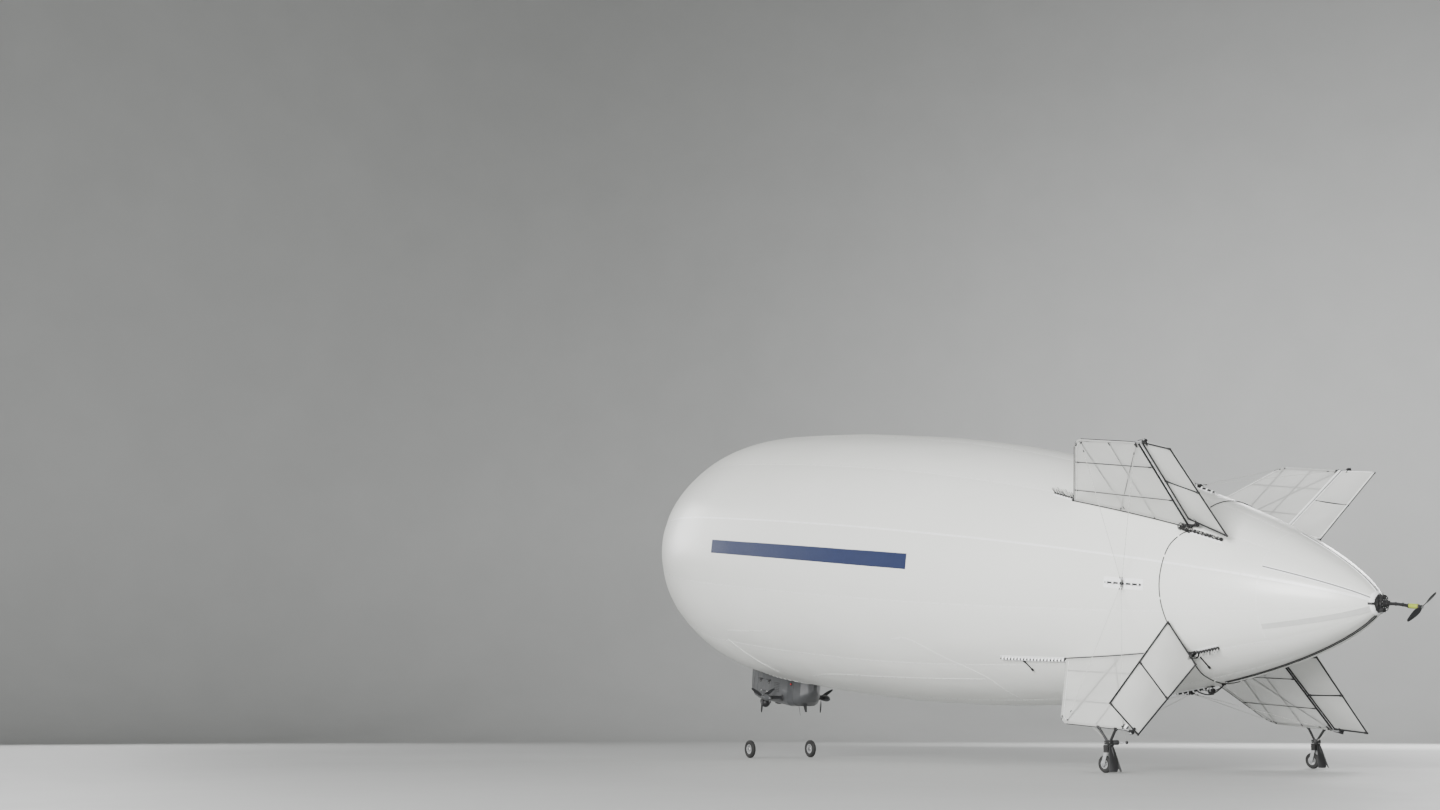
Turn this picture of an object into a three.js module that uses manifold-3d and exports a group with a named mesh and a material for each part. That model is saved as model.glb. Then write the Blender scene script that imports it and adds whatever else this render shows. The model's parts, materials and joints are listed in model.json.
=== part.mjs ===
// A small uncrewed airship on its wheels: a 10 mm shell of an envelope, an X tail with
// pivoting panels, a pusher propeller at the tail and a gondola with tilting side propellers.
// Millimetres. The ship frame has x along the axis from the nose (0) to the tail, y to
// starboard and z up at right angles to the axis. It is pitched nose-up by PITCH, because
// the ship parks on a tall front gear and on castors under the lower fins' tips.
import * as THREE from "three";
import { mergeVertices } from "three/addons/utils/BufferGeometryUtils.js";
import Module from "manifold-3d";

const wasm = await Module();
wasm.setup();

// Driving dimensions
const LENGTH = 10890;
const MAX_RADIUS = 1560;
const MAX_STATION = 2710;
const TAIL_POWER = 2.26;
const TAIL_FULLNESS = 0.667;
const WALL = 10;
const PITCH = THREE.MathUtils.degToRad(8.45);
const TAIL_HEIGHT = 1313;
const SEAT_GAP = 0.3;
const NOSE_HOLE = 120;
const TAIL_HOLE = 60;
const HULL_SEGMENTS = 40;

// Fixed fin outline, x along the axis and z out from it
const FIN = {
  rootLead: 8295,
  rootHeight: 1080,
  tipLead: 8828,
  tipLeadZ: 1815,
  tipCorner: 70,
  rootTrail: 9444,
  trailHeight: 780,
  tipTrail: 9510,
};
// A fin's tip slopes down towards this height at its trailing edge
const FIN_TIP = 1762;
const FIN_BASE = 700;
const FIN_THICKNESS = 24;
const FIN_ANGLE = 48;
// Pivot line of the moving panel, which is at a fifth of its chord
const PIVOT = { rootX: 9553, rootZ: 802, tipX: 9596, tipZ: 1762, radius: 7 };
const PANEL = {
  thickness: 18,
  corners: [
    // height, distance aft of the pivot line
    [862, -85],
    [1757, -60],
    [1735, 292],
    [752, 335],
  ],
};
// The arms that carry the panel's bearings, and the servo box on the tip arm's end
const ARM = { width: 18, thickness: 11, boss: 14, rootStart: 9400, tipStart: 9470, footEnd: 9502 };
const SERVO = { start: 9574, end: 9614, width: 30, foot: 4, rise: 28 };

const FINS = [
  // name, angle from straight up towards port, rest deflection of its panel
  { name: "upper_port", angle: FIN_ANGLE, deflection: -12 },
  { name: "upper_starboard", angle: -FIN_ANGLE, deflection: 0 },
  { name: "lower_port", angle: 180 - FIN_ANGLE, deflection: 110 },
  { name: "lower_starboard", angle: FIN_ANGLE - 180, deflection: 0 },
];
// Stays run from the middle of a patch on the hull to two points of each fin's tip beside it
const STAY = {
  radius: 2,
  x: 9030,
  tips: [
    // station, height
    [8890, 1795],
    [9480, 1750],
  ],
};
const PATCH = { length: 380, width: 42, thickness: 5, depth: 30 };
const STAYS = [
  // name, angle from straight up towards port
  { name: "port", angle: 90 },
  { name: "top", angle: 0 },
  { name: "starboard", angle: -90 },
  { name: "belly", angle: 180 },
];
const CABLE = { radius: 4, ringX: 9462 };

// Tail thrust unit on the axis
const TAIL_CAP = { start: 10838, end: 10905, radius: 47, skirt: 6 };
const BOOM = { radius: 13, end: 11116 };
const TAIL_MOTOR = { radius: 22, end: 11206 };
const TAIL_PROP = { radius: 210, hub: 14, length: 24, chord: 38, hand: -1, rest: -56.5 };
const NOSE_CAP = { radius: 240, thickness: 9, face: -22, spigotRadius: 26, spigotEnd: -64 };

// Castors under the lower fins' tips
const CASTOR = {
  x: 9325,
  swivelZ: 241,
  trail: 55,
  wheelRadius: 70,
  wheelWidth: 36,
  axle: 6,
  stem: 8.4,
};
// Stations of the struts' feet on the fin's tip edge
const CASTOR_FEET = [9240, 9422];

// Gondola sections: station, half width, height of the floor line below the axis
const GONDOLA_TOP = -1400;
const GONDOLA_WALL = 10;
const GONDOLA_SECTIONS = [
  // x, half width, bottom, corner radius
  [1720, 30, -1560, 20],
  [1760, 95, -1650, 60],
  [1820, 150, -1750, 90],
  [1900, 192, -1825, 90],
  [1990, 215, -1862, 90],
  [2080, 225, -1880, 90],
  [2800, 225, -1880, 90],
  [2900, 200, -1860, 90],
  [2990, 150, -1805, 80],
  [3060, 80, -1725, 40],
  [3095, 26, -1660, 15],
];
const HATCH = { start: 2100, end: 2420, bottom: -1780, top: -1610, gap: 3, thickness: 8, knuckle: 7 };
const HINGE = { inset: 60, halfLength: 25, outer: 42 };
const BATTERY = { x: 2460, length: 200, width: 260, height: 160 };
const THRUST = { x: 2700, z: -1790, tube: 20, reach: 450, podRadius: 40, podFront: -96, podBack: 84 };
const SIDE_PROP = { radius: 200, hub: 20, length: 28, chord: 42, hand: 1, blades: 3 };
const FRONT_GEAR = {
  x: 2400,
  wheelRadius: 110,
  wheelWidth: 50,
  track: 924,
  leafWidth: 70,
  leaf: 12,
  axle: 9,
};
const TURRET = { x: 1960, floor: -1850, base: 46, ball: 62, drop: 92 };
const VALVES = [
  // name, station, angle from straight up towards port, radius, height
  { name: "gas_valve", x: 5850, angle: -122, radius: 130, height: 34 },
  { name: "air_valve", x: 6420, angle: -150, radius: 96, height: 46 },
];
const BELLY_CAMERA = { x: 9258, length: 66, width: 52, height: 56 };

const material = (color, roughness, metalness = 0) =>
  new THREE.MeshStandardMaterial({ color, roughness, metalness });
const FABRIC = material(0xf2f3f1, 0.45);
const FILM = material(0xe6e8e6, 0.4);
const BLACK = material(0x17181a, 0.5);
const CARBON = material(0x1c1d20, 0.35);
const ALUMINIUM = material(0xa9adb1, 0.35, 1);
const RUBBER = material(0x151515, 0.9);
const SHELL = material(0xd9dbda, 0.35);
const LIME = material(0xb8c832, 0.45);

// Solids and booleans
function solidOf(geometry) {
  const bare = geometry.clone();
  bare.deleteAttribute("normal");
  bare.deleteAttribute("uv");
  const merged = mergeVertices(bare, 1e-3);
  const triVerts = new Uint32Array(merged.index.array);
  const vertProperties = merged.attributes.position.array;
  const made = new wasm.Manifold(new wasm.Mesh({ numProp: 3, vertProperties, triVerts }));
  if (made.volume() > 0) return made;
  for (let i = 0; i < triVerts.length; i += 3) {
    [triVerts[i + 1], triVerts[i + 2]] = [triVerts[i + 2], triVerts[i + 1]];
  }
  return new wasm.Manifold(new wasm.Mesh({ numProp: 3, vertProperties, triVerts }));
}

function geometryOf(solid) {
  const mesh = solid.getMesh();
  const geometry = new THREE.BufferGeometry();
  geometry.setAttribute("position", new THREE.BufferAttribute(mesh.vertProperties, 3));
  geometry.setIndex(new THREE.BufferAttribute(mesh.triVerts, 1));
  const flat = geometry.toNonIndexed();
  flat.computeVertexNormals();
  return flat;
}

function join(...geometries) {
  return geometryOf(geometries.map(solidOf).reduce((all, next) => all.add(next)));
}

function cut(geometry, ...cutters) {
  return geometryOf(cutters.map(solidOf).reduce((all, next) => all.subtract(next), solidOf(geometry)));
}

// A body of revolution about the x axis from [x, radius] points
function revolve(profile, segments) {
  const points = profile.map(([x, radius]) => new THREE.Vector2(radius, x));
  return new THREE.LatheGeometry(points, segments).rotateZ(-Math.PI / 2);
}

function block(x0, x1, y0, y1, z0, z1) {
  const box = new THREE.BoxGeometry(x1 - x0, y1 - y0, z1 - z0);
  return box.translate((x0 + x1) / 2, (y0 + y1) / 2, (z0 + z1) / 2);
}

// A straight round bar between two points
function bar(from, to, radius, sides = 10) {
  const way = new THREE.Vector3().subVectors(to, from);
  const up = new THREE.Vector3(0, 1, 0);
  const turn = new THREE.Quaternion().setFromUnitVectors(up, way.clone().normalize());
  const middle = new THREE.Vector3().addVectors(from, to).multiplyScalar(0.5);
  return new THREE.CylinderGeometry(radius, radius, way.length(), sides)
    .applyQuaternion(turn)
    .translate(middle.x, middle.y, middle.z);
}

// A flat plate in the x-z plane, centred on y = 0, with eased edges
function plate(outline, thickness, ease) {
  const bevel = { bevelThickness: ease, bevelSize: ease, bevelOffset: -ease, bevelSegments: 2 };
  const shape = new THREE.Shape(outline.map(([x, z]) => new THREE.Vector2(x, z)));
  return new THREE.ExtrudeGeometry(shape, { depth: thickness - 2 * ease, steps: 1, ...bevel })
    .translate(0, 0, -thickness / 2 + ease)
    .rotateX(Math.PI / 2);
}

// A closed skin through rings that all have the same number of points, with flat ends
function loft(rings) {
  const count = rings[0].length;
  const positions = rings.flat().flatMap((p) => [p.x, p.y, p.z]);
  const index = [];
  for (let i = 0; i + 1 < rings.length; i += 1) {
    for (let j = 0; j < count; j += 1) {
      const a = i * count + j;
      const b = i * count + ((j + 1) % count);
      index.push(a, b, a + count, b, b + count, a + count);
    }
  }
  const last = (rings.length - 1) * count;
  for (let j = 1; j + 1 < count; j += 1) {
    index.push(0, j + 1, j, last, last + j, last + j + 1);
  }
  const geometry = new THREE.BufferGeometry();
  geometry.setAttribute("position", new THREE.Float32BufferAttribute(positions, 3));
  geometry.setIndex(index);
  return geometry.toNonIndexed();
}

// Hull form
function hullRadius(x) {
  if (x < MAX_STATION) {
    return MAX_RADIUS * Math.sqrt(1 - ((MAX_STATION - x) / MAX_STATION) ** 2);
  }
  const share = (x - MAX_STATION) / (LENGTH - MAX_STATION);
  return MAX_RADIUS * (1 - share ** TAIL_POWER) ** TAIL_FULLNESS;
}

function hullStations(noseSteps, tailSteps) {
  const noseTurn = Math.asin(NOSE_HOLE / MAX_RADIUS);
  const tailShare = (1 - (TAIL_HOLE / MAX_RADIUS) ** (1 / TAIL_FULLNESS)) ** (1 / TAIL_POWER);
  const stations = [];
  for (let i = 0; i < noseSteps; i += 1) {
    const turn = noseTurn + ((Math.PI / 2 - noseTurn) * i) / noseSteps;
    stations.push(MAX_STATION * (1 - Math.cos(turn)));
  }
  for (let i = 0; i <= tailSteps; i += 1) {
    const share = tailShare * Math.sin((Math.PI / 2) * (i / tailSteps));
    stations.push(MAX_STATION + (LENGTH - MAX_STATION) * share);
  }
  return stations;
}

// The hull's profile moved out by a distance along its own normals
function hullProfile(offset) {
  const points = hullStations(8, 14).map((x) => [x, hullRadius(x)]);
  return points.map(([x, radius], i) => {
    const [x0, r0] = points[Math.max(i - 1, 0)];
    const [x1, r1] = points[Math.min(i + 1, points.length - 1)];
    const run = Math.hypot(x1 - x0, r1 - r0);
    return [x - (offset * (r1 - r0)) / run, radius + (offset * (x1 - x0)) / run];
  });
}

// The faceted skin's radius at a station
function skinRadius(x) {
  const points = hullProfile(0);
  const next = points.findIndex(([at]) => at > x);
  const [x0, r0] = points[next - 1];
  const [x1, r1] = points[next];
  return r0 + ((r1 - r0) * (x - x0)) / (x1 - x0);
}

function hullBody(offset) {
  const profile = hullProfile(offset);
  const start = [profile[0][0], 0];
  const end = [profile.at(-1)[0], 0];
  return revolve([start, ...profile, end], HULL_SEGMENTS);
}

const HULL_CUTTER = hullBody(SEAT_GAP);
const seat = (geometry) => cut(geometry, HULL_CUTTER);
const turnedAbout = (angle) => THREE.MathUtils.degToRad(angle);

// A point of the ship frame at a station, an angle from straight up and a distance out
function shipPoint(x, angle, out) {
  const turn = turnedAbout(angle);
  return new THREE.Vector3(x, -out * Math.sin(turn), out * Math.cos(turn));
}

// The scene graph
const airship = new THREE.Group();
const ship = new THREE.Group();
ship.rotation.y = PITCH;
ship.position.z = TAIL_HEIGHT + LENGTH * Math.sin(PITCH);
airship.add(ship);
airship.updateMatrixWorld(true);

function add(name, geometry, finish, parent = ship) {
  const mesh = new THREE.Mesh(geometry, finish);
  mesh.name = name;
  parent.add(mesh);
  return mesh;
}

function envelope() {
  const outer = hullProfile(0);
  const inner = hullProfile(-WALL).reverse();
  add("envelope", revolve([...outer, ...inner, outer[0]], HULL_SEGMENTS), FABRIC);
}

function noseCap() {
  const skin = hullProfile(NOSE_CAP.thickness)[0];
  const { face, spigotRadius, spigotEnd } = NOSE_CAP;
  const profile = [
    [spigotEnd, 0],
    [spigotEnd, spigotRadius],
    [face, spigotRadius],
    [face, 78],
    [face + 8, 92],
    [skin[0] - 2, 110],
    skin,
    [31, NOSE_CAP.radius],
    [60, NOSE_CAP.radius],
    [60, 0],
  ];
  add("nose_cap", seat(revolve(profile, HULL_SEGMENTS)), BLACK);
}

function tailUnit() {
  const { start, end, radius, skirt } = TAIL_CAP;
  const profile = [
    [start, 0],
    [start, hullRadius(start) + skirt],
    [(start + end) / 2 - 6, 66],
    [end - 16, radius + 2],
    [end, radius],
    [end, 0],
  ];
  const cap = revolve(profile, HULL_SEGMENTS);
  const bracket = block(end - 22, end - 8, -15, 15, radius - 12, radius + 26);
  add("tail_cap", seat(join(cap, bracket)), BLACK);

  const boomStart = end + SEAT_GAP;
  const onAxis = (x0, x1, r, sides) => bar(new THREE.Vector3(x0), new THREE.Vector3(x1), r, sides);
  const tube = onAxis(boomStart, BOOM.end, BOOM.radius, 14);
  const foot = onAxis(boomStart, boomStart + 12, 24, 20);
  const head = onAxis(BOOM.end - 10, BOOM.end, 19, 20);
  add("tail_boom", join(tube, foot, head), CARBON);

  const motor = [
    [BOOM.end + SEAT_GAP, 0],
    [BOOM.end + SEAT_GAP, TAIL_MOTOR.radius - 3],
    [BOOM.end + 6, TAIL_MOTOR.radius],
    [TAIL_MOTOR.end - 14, TAIL_MOTOR.radius],
    [TAIL_MOTOR.end - 8, TAIL_MOTOR.radius - 8],
    [TAIL_MOTOR.end, 6],
    [TAIL_MOTOR.end, 0],
  ];
  add("tail_motor", revolve(motor, 24), LIME);

  const prop = propeller(TAIL_PROP, 2).rotateX(turnedAbout(TAIL_PROP.rest));
  prop.translate(TAIL_MOTOR.end + 1 + TAIL_PROP.length / 2, 0, 0);
  add("tail_propeller", prop, CARBON);
}

// A propeller on the x axis, its first blade along +z; hand -1 turns the other way
function propeller({ radius, hub, length, chord, hand }, blades) {
  const sections = [
    // share of radius, share of chord, blade angle in degrees, share of thickness
    [0.04, 0.42, 52, 0.34],
    [0.22, 0.86, 42, 0.18],
    [0.45, 1.0, 28, 0.12],
    [0.7, 0.84, 19, 0.1],
    [0.9, 0.6, 14, 0.09],
    [1.0, 0.26, 12, 0.08],
  ];
  const outline = [
    // along the chord, across it
    [-0.5, 0],
    [-0.3, 0.5],
    [0.05, 0.46],
    [0.5, 0.06],
    [0.05, -0.34],
    [-0.3, -0.4],
  ];
  const section = hand < 0 ? outline.toReversed() : outline;
  const rings = sections.map(([out, width, angle, depth]) =>
    section.map(([along, across]) => {
      const turn = turnedAbout(angle);
      const u = along * width * chord;
      const v = across * depth * width * chord;
      const x = u * Math.sin(turn) + v * Math.cos(turn);
      const y = u * Math.cos(turn) - v * Math.sin(turn);
      return new THREE.Vector3(x, hand * y, out * radius);
    }),
  );
  const blade = loft(rings);
  const profile = [
    [-length / 2, 0],
    [-length / 2, hub * 0.8],
    [-length / 3, hub],
    [length / 3, hub],
    [length / 2, hub * 0.6],
    [length / 2, 0],
  ];
  const step = (2 * Math.PI) / blades;
  const turned = Array.from({ length: blades }, (_, i) => blade.clone().rotateX(step * i));
  return join(revolve(profile, 24), ...turned);
}

// Tail surfaces
function finOutline() {
  const slope = (FIN.tipLead - FIN.rootLead) / (FIN.tipLeadZ - FIN.rootHeight);
  const lead = (z) => FIN.rootLead + slope * (z - FIN.rootHeight);
  const trailSlope = (FIN.tipTrail - FIN.rootTrail) / (FIN_TIP - FIN.trailHeight);
  const trail = (z) => FIN.rootTrail + trailSlope * (z - FIN.trailHeight);
  const corner = [];
  for (let i = 0; i <= 4; i += 1) {
    const turn = (Math.PI / 2) * (i / 4);
    const z = FIN.tipLeadZ - FIN.tipCorner * (1 - Math.sin(turn));
    corner.push([lead(z) + FIN.tipCorner * (1 - Math.cos(turn)), z]);
  }
  return [[lead(FIN_BASE), FIN_BASE], ...corner, [trail(FIN_TIP), FIN_TIP], [trail(FIN_BASE), FIN_BASE]];
}

function fixedFin({ name, angle }) {
  const half = ARM.width / 2;
  const rootFoot = PIVOT.rootZ - 1;
  const rootTop = rootFoot + ARM.thickness;
  const tipFace = FIN_TIP + 1;
  const tipTop = tipFace + ARM.thickness;
  const boss = (x, z0, z1) => bar(new THREE.Vector3(x, 0, z0), new THREE.Vector3(x, 0, z1), ARM.boss, 16);
  const servoHalf = SERVO.width / 2;
  const whole = join(
    plate(finOutline(), FIN_THICKNESS, 7),
    block(ARM.rootStart, PIVOT.rootX, -half, half, rootFoot, rootTop),
    boss(PIVOT.rootX, rootFoot, rootTop),
    block(ARM.tipStart, PIVOT.tipX, -half, half, tipFace, tipTop),
    block(ARM.tipStart, ARM.footEnd, -half, half, FIN_TIP - 8, tipTop),
    boss(PIVOT.tipX, tipFace, tipTop),
    block(SERVO.start, SERVO.end, -servoHalf, servoHalf, FIN_TIP + SERVO.foot, FIN_TIP + SERVO.rise),
  );
  add("fin_" + name, seat(whole.rotateX(turnedAbout(angle))), FILM);
}

// The panel in its pivot's frame: z along the pivot from its root point, x aft
function panelSolid() {
  const lean = Math.atan2(PIVOT.tipX - PIVOT.rootX, PIVOT.tipZ - PIVOT.rootZ);
  const toPivot = (x, z) => {
    const dx = x - PIVOT.rootX;
    const dz = z - PIVOT.rootZ;
    return [dx * Math.cos(lean) - dz * Math.sin(lean), dx * Math.sin(lean) + dz * Math.cos(lean)];
  };
  const pivotX = (z) => PIVOT.rootX + (z - PIVOT.rootZ) * Math.tan(lean);
  const outline = PANEL.corners.map(([z, aft]) => toPivot(pivotX(z) + aft, z));
  const rootFace = PIVOT.rootZ + ARM.thickness - 1;
  const shaftStart = (rootFace - PIVOT.rootZ) / Math.cos(lean) + 0.6;
  const shaftEnd = (FIN_TIP + 1 - PIVOT.rootZ) / Math.cos(lean) - 0.6;
  const shaftPoint = (z) => new THREE.Vector3(0, 0, z);
  const shaft = bar(shaftPoint(shaftStart), shaftPoint(shaftEnd), PIVOT.radius, 12);
  return { solid: join(plate(outline, PANEL.thickness, 6), shaft), lean };
}

function movingPanel({ name, angle, deflection }) {
  const { solid, lean } = panelSolid();
  const fin = new THREE.Group();
  fin.rotation.x = turnedAbout(angle);
  ship.add(fin);
  const pivot = new THREE.Group();
  pivot.position.set(PIVOT.rootX, 0, PIVOT.rootZ);
  pivot.rotation.y = lean;
  fin.add(pivot);
  const mesh = add("panel_" + name, solid, FILM, pivot);
  mesh.rotation.z = turnedAbout(deflection);
}

// Stays from the middle of a patch on the hull to the tips of the two fins beside it
function staySet({ name, angle }) {
  const { x, tips, radius } = STAY;
  const half = PATCH.length / 2;
  const slope = Math.atan2(hullRadius(x + half) - hullRadius(x - half), PATCH.length);
  const patch = new THREE.BoxGeometry(PATCH.length, PATCH.width, PATCH.depth)
    .translate(0, 0, PATCH.thickness - PATCH.depth / 2)
    .rotateY(-slope)
    .translate(x, 0, (hullRadius(x - half) + hullRadius(x + half)) / 2 + 3)
    .rotateX(turnedAbout(angle));
  const root = shipPoint(x, angle, hullRadius(x) + 4);
  const stays = [];
  for (const side of [-1, 1]) {
    const near = FINS.find((fin) => Math.abs(wrap(fin.angle - angle) - side * 45) < 10);
    const beside = FIN_THICKNESS / 2 + SEAT_GAP + radius;
    for (const [finX, finZ] of tips) {
      const tip = new THREE.Vector3(finX, side * beside, finZ);
      tip.applyAxisAngle(new THREE.Vector3(1, 0, 0), turnedAbout(near.angle));
      stays.push(bar(root, tip, radius, 6));
    }
  }
  add("stay_set_" + name, seat(join(patch, ...stays)), BLACK);
}

const wrap = (angle) => ((angle + 540) % 360) - 180;

// Harness: a ring round the hull behind the fins, and a run along the belly to the tail
function harness() {
  const ring = [];
  const out = skinRadius(CABLE.ringX) + CABLE.radius + SEAT_GAP;
  for (let i = 0; i <= 6; i += 1) {
    const turn = (2 * Math.PI * i) / 6;
    ring.push([CABLE.ringX + CABLE.radius * Math.cos(turn), out + CABLE.radius * Math.sin(turn)]);
  }
  add("cable_ring", seat(revolve(ring, HULL_SEGMENTS)), BLACK);

  const start = CABLE.ringX + CABLE.radius + SEAT_GAP;
  const end = TAIL_CAP.start - 3;
  const steps = 12;
  const route = [];
  for (let i = 0; i <= steps; i += 1) {
    const x = start + ((end - start) * i) / steps;
    route.push(shipPoint(x, 180, skinRadius(x) + CABLE.radius));
  }
  const curve = new THREE.CatmullRomCurve3(route);
  const section = new THREE.Shape();
  section.absarc(0, 0, CABLE.radius, 0, 2 * Math.PI);
  const sweep = { steps: 2 * steps, extrudePath: curve, curveSegments: 4, bevelEnabled: false };
  const run = new THREE.ExtrudeGeometry(section, sweep);
  add("belly_cable", seat(run), BLACK);
}

function bellyCamera() {
  const { x, length, width, height } = BELLY_CAMERA;
  const top = hullRadius(x);
  const body = block(x - length / 2, x + length / 2, -width / 2, width / 2, -top - height, -top + 30);
  const face = -top - height;
  const lens = bar(new THREE.Vector3(x, 0, face - 14), new THREE.Vector3(x, 0, face + 2), 17, 16);
  add("belly_camera", seat(join(body, lens)), BLACK);
}

function valves() {
  for (const { name, x, angle, radius, height } of VALVES) {
    const top = hullRadius(x);
    const profile = [
      [0, 0],
      [0, radius * 0.62],
      [height * 0.35, radius * 0.8],
      [height * 0.5, radius],
      [height + 40, radius],
      [height + 40, 0],
    ];
    const slope = Math.atan2(hullRadius(x + radius) - hullRadius(x - radius), 2 * radius);
    const body = revolve(profile, 32)
      .translate(-height, 0, 0)
      .rotateY(-Math.PI / 2 + slope)
      .translate(x, 0, -top)
      .rotateX(turnedAbout(angle - 180));
    add(name, seat(body), name === "gas_valve" ? ALUMINIUM : BLACK);
  }
}

// Gondola
function gondolaBody(inset) {
  const arcSteps = 4;
  const rings = GONDOLA_SECTIONS.map(([x, half, bottom, corner], i) => {
    const last = GONDOLA_SECTIONS.length - 1;
    const shift = i === 0 ? inset : i === last ? -inset : 0;
    const width = half - inset;
    const floor = bottom + inset;
    const radius = Math.max(Math.min(corner - inset, width - 1), 4);
    const ring = [];
    for (const side of [-1, 1]) {
      const arc = [];
      for (let k = 0; k <= arcSteps; k += 1) {
        const turn = (Math.PI / 2) * (k / arcSteps);
        const y = side * (width - radius + radius * Math.cos(turn));
        arc.push(new THREE.Vector3(x + shift, y, floor + radius - radius * Math.sin(turn)));
      }
      const wall = [new THREE.Vector3(x + shift, side * width, GONDOLA_TOP), ...arc];
      ring.push(...(side < 0 ? wall : wall.reverse()));
    }
    return ring;
  });
  return loft(rings);
}

function gondola() {
  const side = GONDOLA_SECTIONS[5][1];
  const { start, end, bottom, top, gap, thickness, knuckle } = HATCH;
  const doorway = block(start, end, -side - 20, -side + GONDOLA_WALL + 20, bottom, top);
  const holeEnd = (y) => new THREE.Vector3(THRUST.x, y, THRUST.z);
  const hole = bar(holeEnd(-300), holeEnd(300), THRUST.tube + 1, 24);
  const body = cut(gondolaBody(0), gondolaBody(GONDOLA_WALL), doorway, hole);

  const door = block(start + gap, end - gap, -side, -side + thickness, bottom + gap, top - gap);
  const axisZ = top + knuckle;
  const axisY = -side - knuckle - 1;
  const pinEnd = (x) => new THREE.Vector3(x, axisY, axisZ);
  const pin = (x0, x1) => bar(pinEnd(x0), pinEnd(x1), knuckle, 12);
  const belowGap = block(0, LENGTH, -side - SEAT_GAP, 0, top - gap, 0);
  const doorHinges = [];
  const wallHinges = [];
  for (const x of [start + HINGE.inset, end - HINGE.inset]) {
    const leaf = block(x - 20, x + 20, -side - knuckle, -side + 3, top - 24, axisZ - 2);
    doorHinges.push(pin(x - HINGE.halfLength, x + HINGE.halfLength), cut(leaf, belowGap));
    for (const sign of [-1, 1]) {
      const inner = x + sign * (HINGE.halfLength + SEAT_GAP);
      const outer = x + sign * HINGE.outer;
      const ends = [Math.min(inner, outer), Math.max(inner, outer)];
      wallHinges.push(pin(...ends), block(...ends, axisY, -side + 3, axisZ - 5, axisZ + 5));
    }
  }
  add("gondola_shell", seat(join(body, ...wallHinges)), SHELL);
  const middle = (start + end) / 2;
  const handle = block(middle - 40, middle + 40, -side - 10, -side + 2, bottom + 20, bottom + 34);
  add("gondola_hatch", join(door, handle, ...doorHinges), SHELL);

  const floor = GONDOLA_SECTIONS[5][2] + GONDOLA_WALL + SEAT_GAP;
  const { x, length, width, height } = BATTERY;
  add("battery_block", block(x, x + length, -width / 2, width / 2, floor, floor + height), BLACK);
}

function thrusters() {
  const { x, z, tube, reach, podRadius, podFront, podBack } = THRUST;
  const cross = bar(new THREE.Vector3(0, -reach, 0), new THREE.Vector3(0, reach, 0), tube, 24);
  const profile = [
    [podFront, 0],
    [podFront, podRadius * 0.55],
    [podFront + 18, podRadius * 0.9],
    [podFront + 60, podRadius],
    [podBack - 60, podRadius * 0.9],
    [podBack - 15, podRadius * 0.45],
    [podBack, 0],
  ];
  const pods = [-reach, reach].map((y) => revolve(profile, 24).translate(0, y, 0));
  add("thrust_tube", join(cross, ...pods).translate(x, 0, z), CARBON);
  for (const [name, y] of [["port", -reach], ["starboard", reach]]) {
    const front = x + podFront - 1 - SIDE_PROP.length / 2;
    const prop = propeller(SIDE_PROP, SIDE_PROP.blades).rotateY(Math.PI).translate(front, y, z);
    add("propeller_" + name, prop, CARBON);
  }
}

// A wheel about the y axis with a round-shouldered tyre and a bored hub
function wheel(radius, width, bore) {
  const half = width / 2;
  const profile = [
    [-half * 0.8, bore],
    [-half * 0.8, radius * 0.2],
    [-half * 0.45, radius * 0.26],
    [-half * 0.45, radius * 0.58],
    [-half, radius * 0.76],
    [-half * 0.62, radius * 0.96],
    [0, radius],
    [half * 0.62, radius * 0.96],
    [half, radius * 0.76],
    [half * 0.45, radius * 0.58],
    [half * 0.45, radius * 0.26],
    [half * 0.8, radius * 0.2],
    [half * 0.8, bore],
    [-half * 0.8, bore],
  ];
  return revolve(profile, 20).rotateZ(Math.PI / 2);
}

// Height in the ship frame of a point at a level height above the floor
function shipHeight(x, level) {
  const axisLevel = TAIL_HEIGHT + (LENGTH - x) * Math.sin(PITCH);
  return (level - axisLevel) / Math.cos(PITCH);
}

function frontGear() {
  const { x, wheelRadius, wheelWidth, track, leafWidth, leaf, axle } = FRONT_GEAR;
  const top = GONDOLA_SECTIONS[5][2] - SEAT_GAP;
  const hub = shipHeight(x, wheelRadius);
  const inner = track / 2 - wheelWidth / 2 - 8;
  const bend = [
    // across, down from the gondola's floor to the hub, as shares
    [0, 0],
    [150, 0],
    [inner - 70, 0.42],
    [inner, 0.8],
    [inner, 1.06],
  ].map(([y, share]) => [y, top + (hub - top) * share]);
  const outer = [...bend.slice(1).reverse().map(([y, z]) => [-y, z]), ...bend.slice(1)];
  const inward = ([y, z]) => (y > 200 ? [y - leaf, z] : [y, z - leaf]);
  const under = bend.slice(1).reverse().map(inward);
  const outline = [...outer, ...under, ...under.map(([y, z]) => [-y, z]).reverse()];
  const shape = new THREE.Shape(outline.map(([y, z]) => new THREE.Vector2(y, z)));
  const bent = new THREE.ExtrudeGeometry(shape, { depth: leafWidth, bevelEnabled: false });
  bent.rotateX(Math.PI / 2).rotateZ(Math.PI / 2).translate(x - leafWidth / 2, 0, 0);
  const stubs = [-1, 1].map((side) => {
    const from = new THREE.Vector3(x, side * (inner - leaf / 2), hub);
    return bar(from, new THREE.Vector3(x, side * (track / 2 + wheelWidth / 2 + 4), hub), axle, 16);
  });
  add("front_leg", join(bent, ...stubs), CARBON);
  for (const [name, side] of [["port", -1], ["starboard", 1]]) {
    const tyre = wheel(wheelRadius, wheelWidth, axle + 0.5).rotateY(-PITCH);
    add("front_wheel_" + name, tyre.translate(x, (side * track) / 2, hub), RUBBER);
  }
}

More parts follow.
